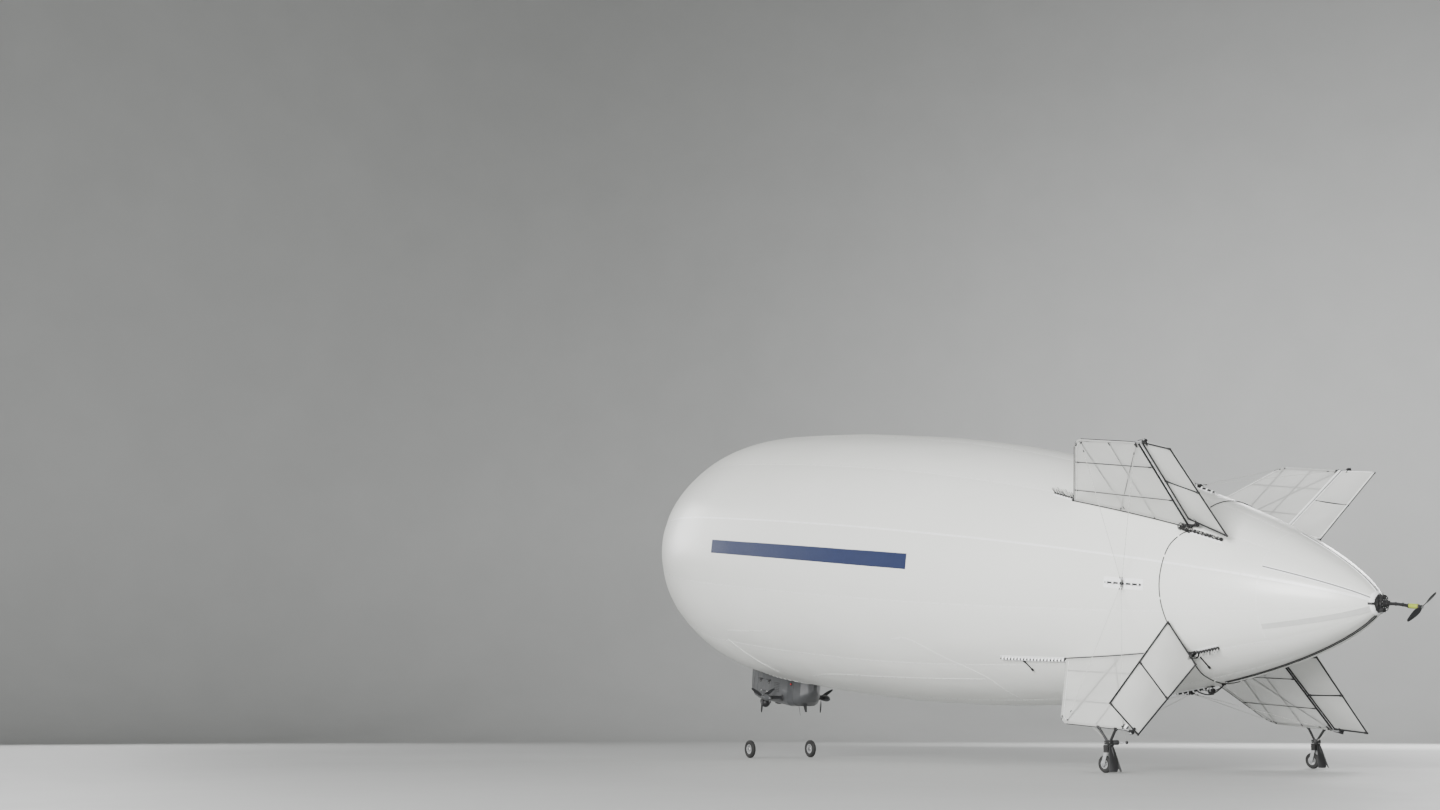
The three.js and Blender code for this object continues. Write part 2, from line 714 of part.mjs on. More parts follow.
function turret() {
  const { x, floor, base, ball, drop } = TURRET;
  const profile = [[-drop - ball, 0]];
  for (let i = 1; i < 8; i += 1) {
    const turn = (Math.PI * i) / 10;
    profile.push([-drop - ball * Math.cos(turn), ball * Math.sin(turn)]);
  }
  profile.push([-drop + ball * 0.75, base], [40, base], [40, 0]);
  const body = revolve(profile, 24).rotateY(-Math.PI / 2).translate(x, 0, floor);
  add("sensor_turret", cut(body, gondolaBody(-SEAT_GAP)), BLACK);
}

// Castors hang plumb from the lower fins' tips, so they are placed in the level frame
function castor(name, angle) {
  const toLevel = (x, out) => ship.localToWorld(shipPoint(x, angle, out));
  const tip = toLevel(CASTOR.x, FIN_TIP);
  const { swivelZ, trail, wheelRadius, wheelWidth, axle, stem } = CASTOR;
  const at = (dx, dy, z) => new THREE.Vector3(tip.x + dx, tip.y + dy, z);
  const edgeStart = FIN.tipLead + FIN.tipCorner;
  const slope = (FIN.tipLeadZ - FIN_TIP) / (FIN.tipTrail - edgeStart);
  const edge = (x) => FIN.tipLeadZ - slope * (x - edgeStart);
  const struts = CASTOR_FEET.map((x) => bar(toLevel(x, edge(x) + 6), at(0, 0, swivelZ + 4), 5, 8));
  const feet = CASTOR_FEET.map((x) => {
    const foot = block(-15, 15, -9, 9, SEAT_GAP, 7).rotateY(Math.atan(slope)).translate(x, 0, edge(x));
    return foot.rotateX(turnedAbout(angle)).applyMatrix4(ship.matrixWorld);
  });
  const housing = bar(at(0, 0, swivelZ - 15), at(0, 0, swivelZ + 13), 20, 24);
  const bore = bar(at(0, 0, swivelZ - 30), at(0, 0, swivelZ + 6), stem + 0.6, 20);
  add("tail_leg_" + name, cut(join(...struts, ...feet, housing), bore), ALUMINIUM, airship);

  const arm = wheelWidth / 2 + 8;
  const crownTop = swivelZ - 15.6;
  const crown = block(tip.x - 26, tip.x + 20, tip.y - arm - 5, tip.y + arm + 5, crownTop - 10, crownTop);
  const pin = bar(at(0, 0, crownTop - 5), at(0, 0, swivelZ + 4), stem, 20);
  const sides = [-1, 1].map((side) => {
    const y0 = tip.y + side * arm - 3;
    return plate(
      [
        [tip.x - 26, crownTop],
        [tip.x + 20, crownTop],
        [tip.x - trail + 16, wheelRadius - 16],
        [tip.x - trail - 16, wheelRadius - 16],
      ],
      6,
      1,
    ).translate(0, y0 + 3, 0);
  });
  const shaft = bar(at(-trail, -arm, wheelRadius), at(-trail, arm, wheelRadius), axle, 16);
  add("tail_fork_" + name, join(crown, pin, ...sides, shaft), ALUMINIUM, airship);

  const tyre = wheel(wheelRadius, wheelWidth, axle + 0.5).translate(tip.x - trail, tip.y, wheelRadius);
  add("tail_wheel_" + name, tyre, RUBBER, airship);
}

envelope();
noseCap();
tailUnit();
FINS.forEach(fixedFin);
FINS.forEach(movingPanel);
STAYS.forEach(staySet);
harness();
bellyCamera();
valves();
gondola();
thrusters();
frontGear();
turret();
castor("port", 180 - FIN_ANGLE);
castor("starboard", FIN_ANGLE - 180);

// The model's origin is on the floor under the middle of its box
const box = new THREE.Box3().setFromObject(airship, true);
airship.position.set(-(box.min.x + box.max.x) / 2, 0, 0);

export default airship;
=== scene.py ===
"""Looks of the small uncrewed airship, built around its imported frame.

Every length is in metres. The ship frame has x along the hull's axis from the nose, y to
starboard and z up at right angles to the axis. Angles round the hull are in degrees from
straight up towards port.
"""

from __future__ import annotations

import json
import logging
import math
import random
from dataclasses import dataclass
from enum import Enum
from typing import Callable, Iterable, Sequence

import bmesh
import bpy
from mathutils import Matrix, Vector, noise

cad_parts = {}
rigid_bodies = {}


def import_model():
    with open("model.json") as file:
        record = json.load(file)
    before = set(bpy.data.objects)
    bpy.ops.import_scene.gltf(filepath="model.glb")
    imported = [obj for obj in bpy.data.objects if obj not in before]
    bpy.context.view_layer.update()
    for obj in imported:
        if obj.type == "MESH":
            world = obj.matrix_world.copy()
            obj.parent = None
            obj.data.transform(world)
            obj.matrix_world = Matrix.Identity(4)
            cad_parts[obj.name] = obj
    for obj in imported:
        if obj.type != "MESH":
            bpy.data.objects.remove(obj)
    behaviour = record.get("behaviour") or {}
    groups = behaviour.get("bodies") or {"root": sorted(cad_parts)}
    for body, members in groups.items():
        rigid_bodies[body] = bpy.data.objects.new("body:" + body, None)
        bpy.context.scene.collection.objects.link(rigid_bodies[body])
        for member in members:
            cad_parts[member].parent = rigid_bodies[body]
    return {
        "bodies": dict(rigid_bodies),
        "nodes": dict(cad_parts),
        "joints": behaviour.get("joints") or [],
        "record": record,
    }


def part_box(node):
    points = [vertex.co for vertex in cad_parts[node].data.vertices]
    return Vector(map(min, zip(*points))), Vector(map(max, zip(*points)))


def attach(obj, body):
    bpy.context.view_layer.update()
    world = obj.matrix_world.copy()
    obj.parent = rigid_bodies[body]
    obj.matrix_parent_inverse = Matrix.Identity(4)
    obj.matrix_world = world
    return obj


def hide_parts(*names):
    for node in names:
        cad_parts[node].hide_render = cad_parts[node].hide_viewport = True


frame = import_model()

LOG = logging.getLogger("airship")
PITCH = math.radians(8.45)
NOSE = Vector((-5.524806, 0.0, 2.913245))
SHIP = Matrix.Translation(NOSE) @ Matrix.Rotation(PITCH, 4, "Y")
WORLD = Matrix.Identity(4)
TO_Y = Matrix.Rotation(math.radians(90), 4, "Z")
TO_Z = Matrix.Rotation(math.radians(-90), 4, "Y")
HULL_BODY = "hull"
PLACE = "place"
FIN_ANGLES = {
    "upper_port": 48.0,
    "upper_starboard": -48.0,
    "lower_port": 132.0,
    "lower_starboard": -132.0,
}
PANEL_REST = {"upper_port": -12.0, "upper_starboard": 0.0, "lower_port": 110.0, "lower_starboard": 0.0}
STAY_ANGLES = {"port": 90.0, "top": 0.0, "starboard": -90.0, "belly": 180.0}
Row = Sequence[Vector]
Socket = bpy.types.NodeSocket
Pair = tuple[float, float]
Triple = tuple[float, float, float]
Quad = tuple[float, float, float, float]
Colour = tuple[float, float, float]


class Side(Enum):
    """The two sides of the ship, with the sign of y."""

    PORT = -1
    STARBOARD = 1

    @property
    def label(self) -> str:
        """The side's name in the frame's names."""
        return self.name.lower()


class Surface(Enum):
    """The record's material slots."""

    HULL = "hull_fabric"
    FILM = "fin_film"
    BLACK = "black_plastic"
    CARBON = "carbon"
    ALUMINIUM = "aluminium"
    GONDOLA = "gondola_skin"
    TYRE = "tyre"
    LIME = "lime_band"
    CABLE = "cable"


# Finishes


class ShaderSheet:
    """Writes the nodes of one material."""

    def __init__(self, name: str) -> None:
        """Starts a material with its Principled shader.

        Args:
            name: The material's name.
        """
        self.material = bpy.data.materials.new(name)
        self.material.use_nodes = True
        self.tree = self.material.node_tree
        self.shader = self.tree.nodes["Principled BSDF"]

    def feed(self, socket: Socket, value: object) -> None:
        """Links a socket to another one, or sets its value.

        Args:
            socket: The input socket.
            value: An output socket, a number or a tuple.
        """
        if isinstance(value, Socket):
            self.tree.links.new(value, socket)
        else:
            socket.default_value = value

    def node(self, kind: str, inputs: dict | None = None, **settings: object) -> bpy.types.Node:
        """Adds a node.

        Args:
            kind: The node's type without its ShaderNode prefix.
            inputs: Values or sockets by input name or index.
            settings: The node's own properties.

        Returns:
            The node.
        """
        made = self.tree.nodes.new("ShaderNode" + kind)
        for key, value in settings.items():
            setattr(made, key, value)
        for key, value in (inputs or {}).items():
            self.feed(made.inputs[key], value)
        return made

    def place(self, stretch: Sequence[float] = (1, 1, 1)) -> Socket:
        """The piece's own coordinates, stretched.

        Args:
            stretch: Factor on each axis.

        Returns:
            The vector socket.
        """
        at = self.node("Attribute", attribute_name=PLACE).outputs["Vector"]
        return self.node("Mapping", {"Vector": at, "Scale": tuple(stretch)}).outputs[0]

    def noise(
        self, scale: float, detail: float = 3.0, stretch: Sequence[float] = (1, 1, 1)
    ) -> Socket:
        """Fractal noise between 0 and 1.

        Args:
            scale: Lumps per metre.
            detail: Octaves.
            stretch: Factor on each axis.

        Returns:
            The value socket.
        """
        inputs = {"Vector": self.place(stretch), "Scale": scale, "Detail": detail}
        return self.node("TexNoise", inputs).outputs["Fac"]

    def math(self, operation: str, *values: object) -> Socket:
        """A Math node.

        Args:
            operation: Blender's name of the operation.
            values: Up to three numbers or sockets.

        Returns:
            The value socket.
        """
        return self.node("Math", dict(enumerate(values)), operation=operation).outputs[0]

    def scaled(self, value: object, low: float, high: float, span: Pair = (0.0, 1.0)) -> Socket:
        """Maps a value to a range.

        Args:
            value: The value socket.
            low: Result at the span's start.
            high: Result at its end.
            span: The value's own range.

        Returns:
            The value socket.
        """
        inputs = {"Value": value, "From Min": span[0], "From Max": span[1]}
        return self.node("MapRange", {**inputs, "To Min": low, "To Max": high}).outputs[0]

    def ramp(
        self, value: object, stops: Sequence[tuple[float, Sequence[float]]]
    ) -> Socket:
        """A colour ramp.

        Args:
            value: The value socket.
            stops: Position and RGB of each stop.

        Returns:
            The colour socket.
        """
        made = self.node("ValToRGB", {"Fac": value})
        elements = made.color_ramp.elements
        while len(elements) < len(stops):
            elements.new(0.5)
        for element, (position, colour) in zip(elements, stops):
            element.position = position
            element.color = (*colour, 1)
        return made.outputs["Color"]

    def mottled(self, value: object, colour: Colour, share: float, span: Pair) -> Socket:
        """A colour that darkens where a value is low.

        Args:
            value: The value socket.
            colour: RGB where the value is high.
            share: Share of it that is left where the value is low.
            span: The values between which it changes.

        Returns:
            The colour socket.
        """
        dark = tuple(c * share for c in colour)
        return self.ramp(value, [(span[0], dark), (span[1], colour)])

    def blend(self, factor: object, first: object, second: object) -> Socket:
        """Mixes two colours.

        Args:
            factor: Share of the second colour.
            first: Colour socket or RGBA.
            second: Colour socket or RGBA.

        Returns:
            The colour socket.
        """
        made = self.node("Mix", data_type="RGBA")
        self.feed(made.inputs[0], factor)
        self.feed(made.inputs[6], first)
        self.feed(made.inputs[7], second)
        return made.outputs[2]

    def bump(self, height: object, distance: float, strength: float = 1.0) -> None:
        """Adds relief, on top of any that the shader has.

        Args:
            height: The value socket.
            distance: Depth in metres of a full step of the value.
            strength: Share of it that shows.
        """
        inputs = {"Height": height, "Distance": distance, "Strength": strength}
        made = self.node("Bump", inputs)
        links = self.shader.inputs["Normal"].links
        if links:
            self.feed(made.inputs["Normal"], links[0].from_socket)
        self.feed(self.shader.inputs["Normal"], made.outputs[0])

    def set(self, **values: object) -> None:
        """Feeds the shader's inputs.

        Args:
            values: Values by input name, with underscores for spaces.
        """
        for key, value in values.items():
            self.feed(self.shader.inputs[key.replace("_", " ")], value)


@dataclass(frozen=True)
class Finish:
    """Base of every finish. Its material is built once, when it is first asked for."""

    name: str

    def material(self) -> bpy.types.Material:
        """The finish's material."""
        found = bpy.data.materials.get(self.name)
        if found:
            return found
        sheet = ShaderSheet(self.name)
        self.paint(sheet)
        return sheet.material

    def paint(self, sheet: ShaderSheet) -> None:
        """Writes the nodes.

        Args:
            sheet: The material's sheet.
        """
        raise NotImplementedError


@dataclass(frozen=True)
class HullFabric(Finish):
    """Satin laminate of the envelope, with fine puckers beside each gore seam."""

    colour: Colour = (0.80, 0.807, 0.772)
    gores: int = 12
    weave: float = 160.0

    def paint(self, sheet: ShaderSheet) -> None:
        """Writes the fabric's tone, its darkening towards the bottom in noisy patches, weave, creases
        and seam puckers.
        """
        at = sheet.node("SeparateXYZ", {0: sheet.place()})
        x, y, z = at.outputs
        turn = sheet.math("ARCTAN2", y, z)
        share = sheet.math("MULTIPLY_ADD", turn, self.gores / math.tau, 0.5)
        gore = sheet.math("FLOOR", share)
        inside = sheet.math("ABSOLUTE", sheet.math("SUBTRACT", sheet.math("FRACT", share), 0.5))
        near_seam = sheet.math("POWER", sheet.math("MULTIPLY", inside, 2.0), 9.0)
        tone = sheet.node("TexWhiteNoise", {"W": gore}, noise_dimensions="1D").outputs[0]
        cloud = sheet.noise(1.1, 4)
        level = sheet.math("MULTIPLY_ADD", tone, 0.35, sheet.math("MULTIPLY", cloud, 0.65))
        fabric = sheet.mottled(level, self.colour, 0.965, (0.25, 0.75))
        # Darker and greyer towards the bottom of the hull, in noisy patches.
        low = sheet.scaled(z, 0.0, 1.0, (-0.2, -1.5))
        lower_patches = sheet.math("MULTIPLY", low, sheet.scaled(sheet.noise(2.6, 6), -0.15, 0.6))
        blotches = sheet.math("MAXIMUM", lower_patches, 0.0)
        bottom_darkened = sheet.blend(blotches, fabric, (0.66, 0.66, 0.63, 1))
        sheet.set(
            Base_Color=bottom_darkened,
            Roughness=sheet.scaled(sheet.noise(7.0, 4), 0.30, 0.42),
            Coat_Weight=0.3,
            Coat_Roughness=0.22,
        )
        threads = sheet.node(
            "TexVoronoi", {"Vector": sheet.place(), "Scale": self.weave}, distance="CHEBYCHEV"
        )
        sheet.bump(threads.outputs["Distance"], 0.0002, 0.35)
        creases = sheet.noise(3.0, 5, (0.35, 1, 1))
        sheet.bump(creases, 0.007, 0.5)
        ripples = sheet.math("SINE", sheet.math("MULTIPLY_ADD", x, 92.0, sheet.noise(6.0, 2)))
        sheet.bump(sheet.math("MULTIPLY", ripples, near_seam), 0.0016, 0.6)


@dataclass(frozen=True)
class Tape(Finish):
    """Welded seam tape, sleeve or patch with a crinkled surface, also used for a grey band of painted
    shade along a fold.
    """

    colour: Colour = (0.95, 0.955, 0.95)
    roughness: float = 0.26

    def paint(self, sheet: ShaderSheet) -> None:
        """Writes the tape's tone and its crinkled surface."""
        sheet.set(
            Base_Color=sheet.mottled(sheet.noise(18.0, 4), self.colour, 0.93, (0.3, 0.7)),
            Roughness=sheet.scaled(sheet.noise(40.0, 2), self.roughness - 0.05, self.roughness + 0.1),
            Coat_Weight=0.25,
            Coat_Roughness=0.2,
        )
        sheet.bump(sheet.noise(120.0, 3), 0.0006, 0.5)


@dataclass(frozen=True)
class FinFilm(Finish):
    """Thin translucent white film over a fin's tubes."""

    colour: Colour = (0.78, 0.785, 0.76)
    cover: float = 0.52

    def paint(self, sheet: ShaderSheet) -> None:
        """Writes the film's cloudy tone, its cover and its tension creases."""
        sheet.set(
            Base_Color=sheet.mottled(sheet.noise(4.0, 5), self.colour, 0.93, (0.3, 0.72)),
            Roughness=sheet.scaled(sheet.noise(9.0, 3), 0.3, 0.44),
            Alpha=self.cover,
            Coat_Weight=0.15,
            Coat_Roughness=0.2,
        )
        sheet.bump(sheet.noise(5.0, 5, (1.0, 1.0, 0.35)), 0.006, 0.5)
        sheet.bump(sheet.noise(260.0, 2), 0.0003, 0.4)


@dataclass(frozen=True)
class Moulded(Finish):
    """Moulded or printed plastic, rubber and paint: fine grain and worn, dusty highs."""

    colour: Colour = (0.010, 0.010, 0.011)
    worn: Colour = (0.042, 0.042, 0.041)
    roughness: float = 0.5
    grain: float = 900.0
    depth: float = 0.00025
    metallic: float = 0.0
    coat: float = 0.0

    def paint(self, sheet: ShaderSheet) -> None:
        """Writes the tone, the wear on edges and the grain."""
        edge = sheet.node("NewGeometry").outputs["Pointiness"]
        rub = sheet.scaled(edge, 0.0, 1.0, (0.52, 0.62))
        patches = sheet.scaled(sheet.noise(45.0, 5), -0.35, 1.0)
        wear = sheet.math("MULTIPLY", rub, sheet.math("MAXIMUM", patches, 0.0))
        dusty = sheet.math("ADD", wear, sheet.scaled(sheet.noise(14.0, 6), -0.10, 0.22))
        sheet.set(
            Base_Color=sheet.ramp(dusty, [(0.0, self.colour), (1.0, self.worn)]),
            Roughness=sheet.scaled(
                sheet.noise(30.0, 4), self.roughness - 0.08, self.roughness + 0.1
            ),
            Metallic=self.metallic,
            Coat_Weight=self.coat,
            Coat_Roughness=0.15,
        )
        sheet.bump(sheet.noise(self.grain, 2), self.depth, 0.6)


@dataclass(frozen=True)
class Woven(Finish):
    """Carbon twill, braid or line: crossed bands at the weave's own scale."""

    dark: Colour = (0.007, 0.007, 0.008)
    light: Colour = (0.030, 0.031, 0.034)
    pitch: float = 320.0
    roughness: float = 0.32
    coat: float = 0.4
    depth: float = 0.0002

    def paint(self, sheet: ShaderSheet) -> None:
        """Writes the two crossed bands and the clear coat."""
        bands = [
            sheet.node(
                "TexWave",
                {"Vector": sheet.place(stretch), "Scale": self.pitch / 6.3, "Distortion": 0.4},
                wave_type="BANDS",
                bands_direction="DIAGONAL",
            ).outputs["Fac"]
            for stretch in ((1, 1, 1), (-1, 1, 1))
        ]
        weave = sheet.math("MULTIPLY", *bands)
        cloud = sheet.math("MULTIPLY_ADD", sheet.noise(25.0, 3), 0.3, weave)
        sheet.set(
            Base_Color=sheet.ramp(cloud, [(0.1, self.dark), (0.9, self.light)]),
            Roughness=sheet.scaled(sheet.noise(35.0, 3), self.roughness - 0.06, self.roughness + 0.1),
            Coat_Weight=self.coat,
            Coat_Roughness=0.12,
        )
        sheet.bump(weave, self.depth, 0.5)


@dataclass(frozen=True)
class BareMetal(Finish):
    """Machined metal with fine turning lines and dulled patches."""

    colour: Colour = (0.62, 0.63, 0.64)
    roughness: float = 0.3
    stretch: Triple = (1.0, 1.0, 18.0)

    def paint(self, sheet: ShaderSheet) -> None:
        """Writes the metal's tone and its brushed relief."""
        sheet.set(
            Base_Color=sheet.mottled(sheet.noise(30.0, 5), self.colour, 0.7, (0.3, 0.65)),
            Roughness=sheet.scaled(
                sheet.noise(60.0, 3, self.stretch), self.roughness - 0.08, self.roughness + 0.14
            ),
            Metallic=1.0,
        )
        sheet.bump(sheet.noise(160.0, 2, self.stretch), 0.0002, 0.5)


@dataclass(frozen=True)
class Lens(Finish):
    """Dark coated glass or a lamp's cover."""

    colour: Colour = (0.01, 0.012, 0.02)
    roughness: float = 0.05

    def paint(self, sheet: ShaderSheet) -> None:
        """Writes the glass with a trace of dust."""
        blotches = sheet.scaled(sheet.noise(60.0, 5), -0.05, 0.12)
        sheet.set(
            Base_Color=sheet.ramp(blotches, [(0.0, self.colour), (1.0, (0.4, 0.4, 0.4))]),
            Roughness=sheet.scaled(sheet.noise(90.0, 3), self.roughness, self.roughness + 0.08),
            Coat_Weight=1.0,
            Coat_Roughness=0.03,
            Specular_IOR_Level=0.8,
        )


FABRIC = HullFabric("envelope_fabric")
TAPE = Tape("seam_tape")
SEAM = Tape("gore_weld", colour=(0.845, 0.85, 0.825))
GREY_SLEEVE = Tape("grey_sleeve", colour=(0.36, 0.365, 0.355), roughness=0.5)
# A grey band of painted shade, laid along the tail cone's lower folds.
FOLD_SHADE = Tape("fabric_fold", colour=(0.60, 0.605, 0.585), roughness=0.5)
STRIPE = Tape("navy_stripe", colour=(0.012, 0.022, 0.075), roughness=0.5)
FILM = FinFilm("fin_film_skin")
PANEL_FILM = FinFilm("panel_film_skin", cover=0.66)
BATTEN = Tape("batten_sleeve", colour=(0.15, 0.155, 0.16), roughness=0.5)
BLACK = Moulded("black_moulding")
RUBBER = Moulded(
    "tyre_rubber", colour=(0.010, 0.010, 0.010), worn=(0.07, 0.068, 0.065), roughness=0.72, grain=500.0
)
PAINT = Moulded(
    "gondola_paint",
    colour=(0.050, 0.052, 0.055),
    worn=(0.13, 0.13, 0.13),
    roughness=0.36,
    grain=220.0,
    depth=0.00012,
    coat=0.3,
)
GREY_PAINT = Moulded(
    "grey_paint", colour=(0.26, 0.265, 0.27), worn=(0.5, 0.5, 0.5), roughness=0.4, grain=300.0
)
LIME = Moulded(
    "lime_sleeve",
    colour=(0.27, 0.34, 0.022),
    worn=(0.45, 0.5, 0.15),
    roughness=0.4,
    grain=400.0,
)
BATTERY_WRAP = Moulded(
    "battery_wrap", colour=(0.02, 0.06, 0.16), worn=(0.1, 0.14, 0.25), roughness=0.3, coat=0.4
)
CARBON = Woven("carbon_twill")
CABLE = Woven(
    "cable_braid", dark=(0.007, 0.007, 0.007), light=(0.026, 0.026, 0.026), roughness=0.6, coat=0.0
)
CORD = Woven(
    "white_line", dark=(0.42, 0.42, 0.40), light=(0.74, 0.74, 0.71), roughness=0.6, coat=0.0
)
ALUMINIUM = BareMetal("brushed_aluminium")
STEEL = BareMetal("steel", colour=(0.5, 0.5, 0.5), roughness=0.24)
COPPER = BareMetal("copper_winding", colour=(0.72, 0.34, 0.16), roughness=0.35)
GLASS = Lens("dark_glass")
RED_LAMP = Lens("red_lamp", colour=(0.45, 0.01, 0.01))
GREEN_LAMP = Lens("green_lamp", colour=(0.01, 0.35, 0.06))


# Meshes


def lerp(first: float, second: float, share: float) -> float:
    """A value part of the way from the first number to the second."""
    return first + (second - first) * share


def station_on(start: Pair, end: Pair, height: float) -> float:
    """The station at a height on the line through two points."""
    (x0, z0), (x1, z1) = start, end
    return x0 + (x1 - x0) * (height - z0) / (z1 - z0)


def spread(first: float, last: float, count: int) -> list[float]:
    """Evenly spaced numbers, with both ends."""
    return [lerp(first, last, i / (count - 1)) for i in range(count)]


def turns(count: int) -> list[float]:
    """Evenly spaced angles round a full turn, from 0."""
    return [math.tau * k / count for k in range(count)]


def rounds(count: int) -> list[Matrix]:
    """Evenly spaced rotations about x, from none."""
    return [Matrix.Rotation(turn, 4, "X") for turn in turns(count)]


def through(points: Sequence[Sequence[float]], count: int) -> list[Vector]:
    """Points at even steps of index along a smooth curve through the given ones.

    Args:
        points: Points that the curve passes.
        count: How many points to return.

    Returns:
        The curve's points.
    """
    known = [Vector(p) for p in points]
    known = [known[0] * 2 - known[1], *known, known[-1] * 2 - known[-2]]
    made = []
    for share in spread(0, len(points) - 1, count):
        i = min(int(share), len(points) - 2)
        t = share - i
        a, b, c, d = known[i : i + 4]
        square = (2 * a - 5 * b + 4 * c - d) * t * t
        cube = (3 * b - a - 3 * c + d) * t**3
        made.append(0.5 * (2 * b + (c - a) * t + square + cube))
    return made


def smoothed(points: Sequence[Pair], count: int) -> list[Pair]:
    """Pairs at even steps of index along a smooth curve through the given pairs."""
    return [(p.x, p.y) for p in through([(a, b, 0) for a, b in points], count)]


class Sketch:
    """Vertices and faces of one piece, gathered before it becomes an object."""

    def __init__(self) -> None:
        """Starts empty."""
        self.points: list[Vector] = []
        self.faces: list[tuple[int, ...]] = []
        self.finish_of: list[int] = []

    def add(
        self,
        points: Iterable[Sequence[float]],
        faces: Iterable[tuple[int, ...]],
        finish: int = 0,
        turn: Matrix = WORLD,
    ) -> None:
        """Adds points and the faces between them.

        Args:
            points: The points.
            faces: Indices into those points.
            finish: Index of the finish.
            turn: Matrix that places the points.
        """
        base = len(self.points)
        self.points.extend(turn @ Vector(p) for p in points)
        for face in faces:
            self.faces.append(tuple(base + i for i in face))
            self.finish_of.append(finish)

    def grid(
        self,
        rows: Sequence[Row],
        finish: int = 0,
        wrap: bool = False,
        loop: bool = False,
        caps: bool = False,
        turn: Matrix = WORLD,
    ) -> None:
        """Adds a skin through rows of points.

        Args:
            rows: Rows with the same number of points.
            finish: Index of the finish.
            wrap: The last point of a row joins its first.
            loop: The last row joins the first.
            caps: The first and last rows are closed.
            turn: Matrix that places the points.
        """
        count = len(rows[0])
        points = [p for row in rows for p in row]
        faces = []
        for i in range(len(rows) if loop else len(rows) - 1):
            low = i * count
            high = ((i + 1) % len(rows)) * count
            for j in range(count if wrap else count - 1):
                k = (j + 1) % count
                faces.append((low + j, low + k, high + k, high + j))
        if caps:
            faces.append(tuple(range(count - 1, -1, -1)))
            faces.append(tuple(range(len(points) - count, len(points))))
        self.add(points, faces, finish, turn)

    def tube(
        self,
        path: Sequence[Sequence[float]],
        radius: float | Callable[[float], float],
        sides: int = 10,
        finish: int = 0,
        closed: bool = False,
        flat: float = 1.0,
        turn: Matrix = WORLD,
    ) -> None:
        """Adds a round bar along a path.

        Args:
            path: The centre line.
            radius: Its radius, or the radius at a share of the path.
            sides: Sides of the section.
            finish: Index of the finish.
            closed: The path is a loop.
            flat: Height of the section as a share of its width.
            turn: Matrix that places the points.
        """
        line = [Vector(p) for p in path]
        total = len(line)
        rows = []
        across = None
        for i, point in enumerate(line):
            before = line[i - 1] if i or closed else line[0]
            after = line[(i + 1) % total] if i + 1 < total or closed else line[-1]
            way = (after - before).normalized()
            if across is None:
                across = way.orthogonal().normalized()
            across = (across - way * across.dot(way)).normalized()
            up = way.cross(across)
            size = radius(i / (total - 1)) if callable(radius) else radius
            rows.append(
                [
                    point + across * (size * math.cos(t)) + up * (size * flat * math.sin(t))
                    for t in turns(sides)
                ]
            )
        self.grid(rows, finish, wrap=True, loop=closed, caps=not closed, turn=turn)

    def turned(
        self,
        profile: Sequence[Pair],
        segments: int = 32,
        finish: int = 0,
        turn: Matrix = WORLD,
        ring: bool = False,
    ) -> None:
        """Adds a body of revolution about the x axis.

        Args:
            profile: Points as (x, radius), with every radius above 0.
            segments: Sides round the axis.
            finish: Index of the finish.
            turn: Matrix that places it.
            ring: The profile is a closed loop round a hole.
        """
        rows = [
            [Vector((x, -r * math.sin(t), r * math.cos(t))) for t in turns(segments)]
            for x, r in profile
        ]
        self.grid(rows, finish, wrap=True, loop=ring, caps=not ring, turn=turn)

    def block(
        self,
        low: Sequence[float],
        high: Sequence[float],
        finish: int = 0,
        turn: Matrix = WORLD,
    ) -> None:
        """Adds a box between two corners.

        Args:
            low: Lowest corner.
            high: Highest corner.
            finish: Index of the finish.
            turn: Matrix that places it.
        """
        ring = [(low[0], low[1]), (high[0], low[1]), (high[0], high[1]), (low[0], high[1])]
        rows = [[Vector((x, y, z)) for x, y in ring] for z in (low[2], high[2])]
        self.grid(rows, finish, wrap=True, caps=True, turn=turn)

    def plate(
        self,
        outline: Sequence[Pair],
        thickness: float,
        finish: int = 0,
        turn: Matrix = WORLD,
    ) -> None:
        """Adds a flat plate in the x-z plane, centred on y = 0.

        Args:
            outline: Corners as (x, z).
            thickness: Its thickness.
            finish: Index of the finish.
            turn: Matrix that places it.
        """
        rows = [[Vector((x, y, z)) for x, z in outline] for y in (-thickness / 2, thickness / 2)]
        self.grid(rows, finish, wrap=True, caps=True, turn=turn)

    def build(
        self,
        name: str,
        finishes: Sequence[Finish],
        matrix: Matrix = WORLD,
        bevel: float = 0.0,
        sharp: float = 38.0,
    ) -> bpy.types.Object:
        """Makes the object, with its mesh in world space and its own frame kept as an attribute.

        Args:
            name: The piece's name.
            finishes: Its finishes, in the order of their indices.
            matrix: Where the piece's own frame lies.
            bevel: Width of the eased edges, or 0 for none.
            sharp: Angle in degrees above which an edge stays crisp.

        Returns:
            The object.
        """
        mesh = bpy.data.meshes.new(name)
        mesh.from_pydata([tuple(matrix @ p) for p in self.points], [], self.faces)
        place = mesh.attributes.new(PLACE, "FLOAT_VECTOR", "POINT")
        place.data.foreach_set("vector", [c for p in self.points for c in p])
        for finish in finishes:
            mesh.materials.append(finish.material())
        mesh.polygons.foreach_set("material_index", self.finish_of)
        shape = bmesh.new()
        shape.from_mesh(mesh)
        bmesh.ops.recalc_face_normals(shape, faces=shape.faces)
        shape.to_mesh(mesh)
        shape.free()
        mesh.polygons.foreach_set("use_smooth", [True] * len(mesh.polygons))
        mesh.set_sharp_from_angle(angle=math.radians(sharp))
        made = bpy.data.objects.new(name, mesh)
        bpy.context.scene.collection.objects.link(made)
        if bevel:
            eased = made.modifiers.new("eased", "BEVEL")
            eased.width = bevel
            eased.segments = 2
            eased.limit_method = "ANGLE"
            eased.angle_limit = math.radians(sharp)
        return made


def mount(
    piece: bpy.types.Object, body: str, surface: Surface, *nodes: str
) -> bpy.types.Object:
    """Lets a piece ride on a body and hides the nodes of the frame that it replaces.

    Args:
        piece: The piece, in place.
        body: The body it moves with.
        surface: Not used.
        nodes: Nodes of the frame that it replaces.

    Returns:
        The piece.
    """
    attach(piece, body)
    if nodes:
        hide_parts(*nodes)
    LOG.info("piece %s rides on %s", piece.name, body)
    return piece


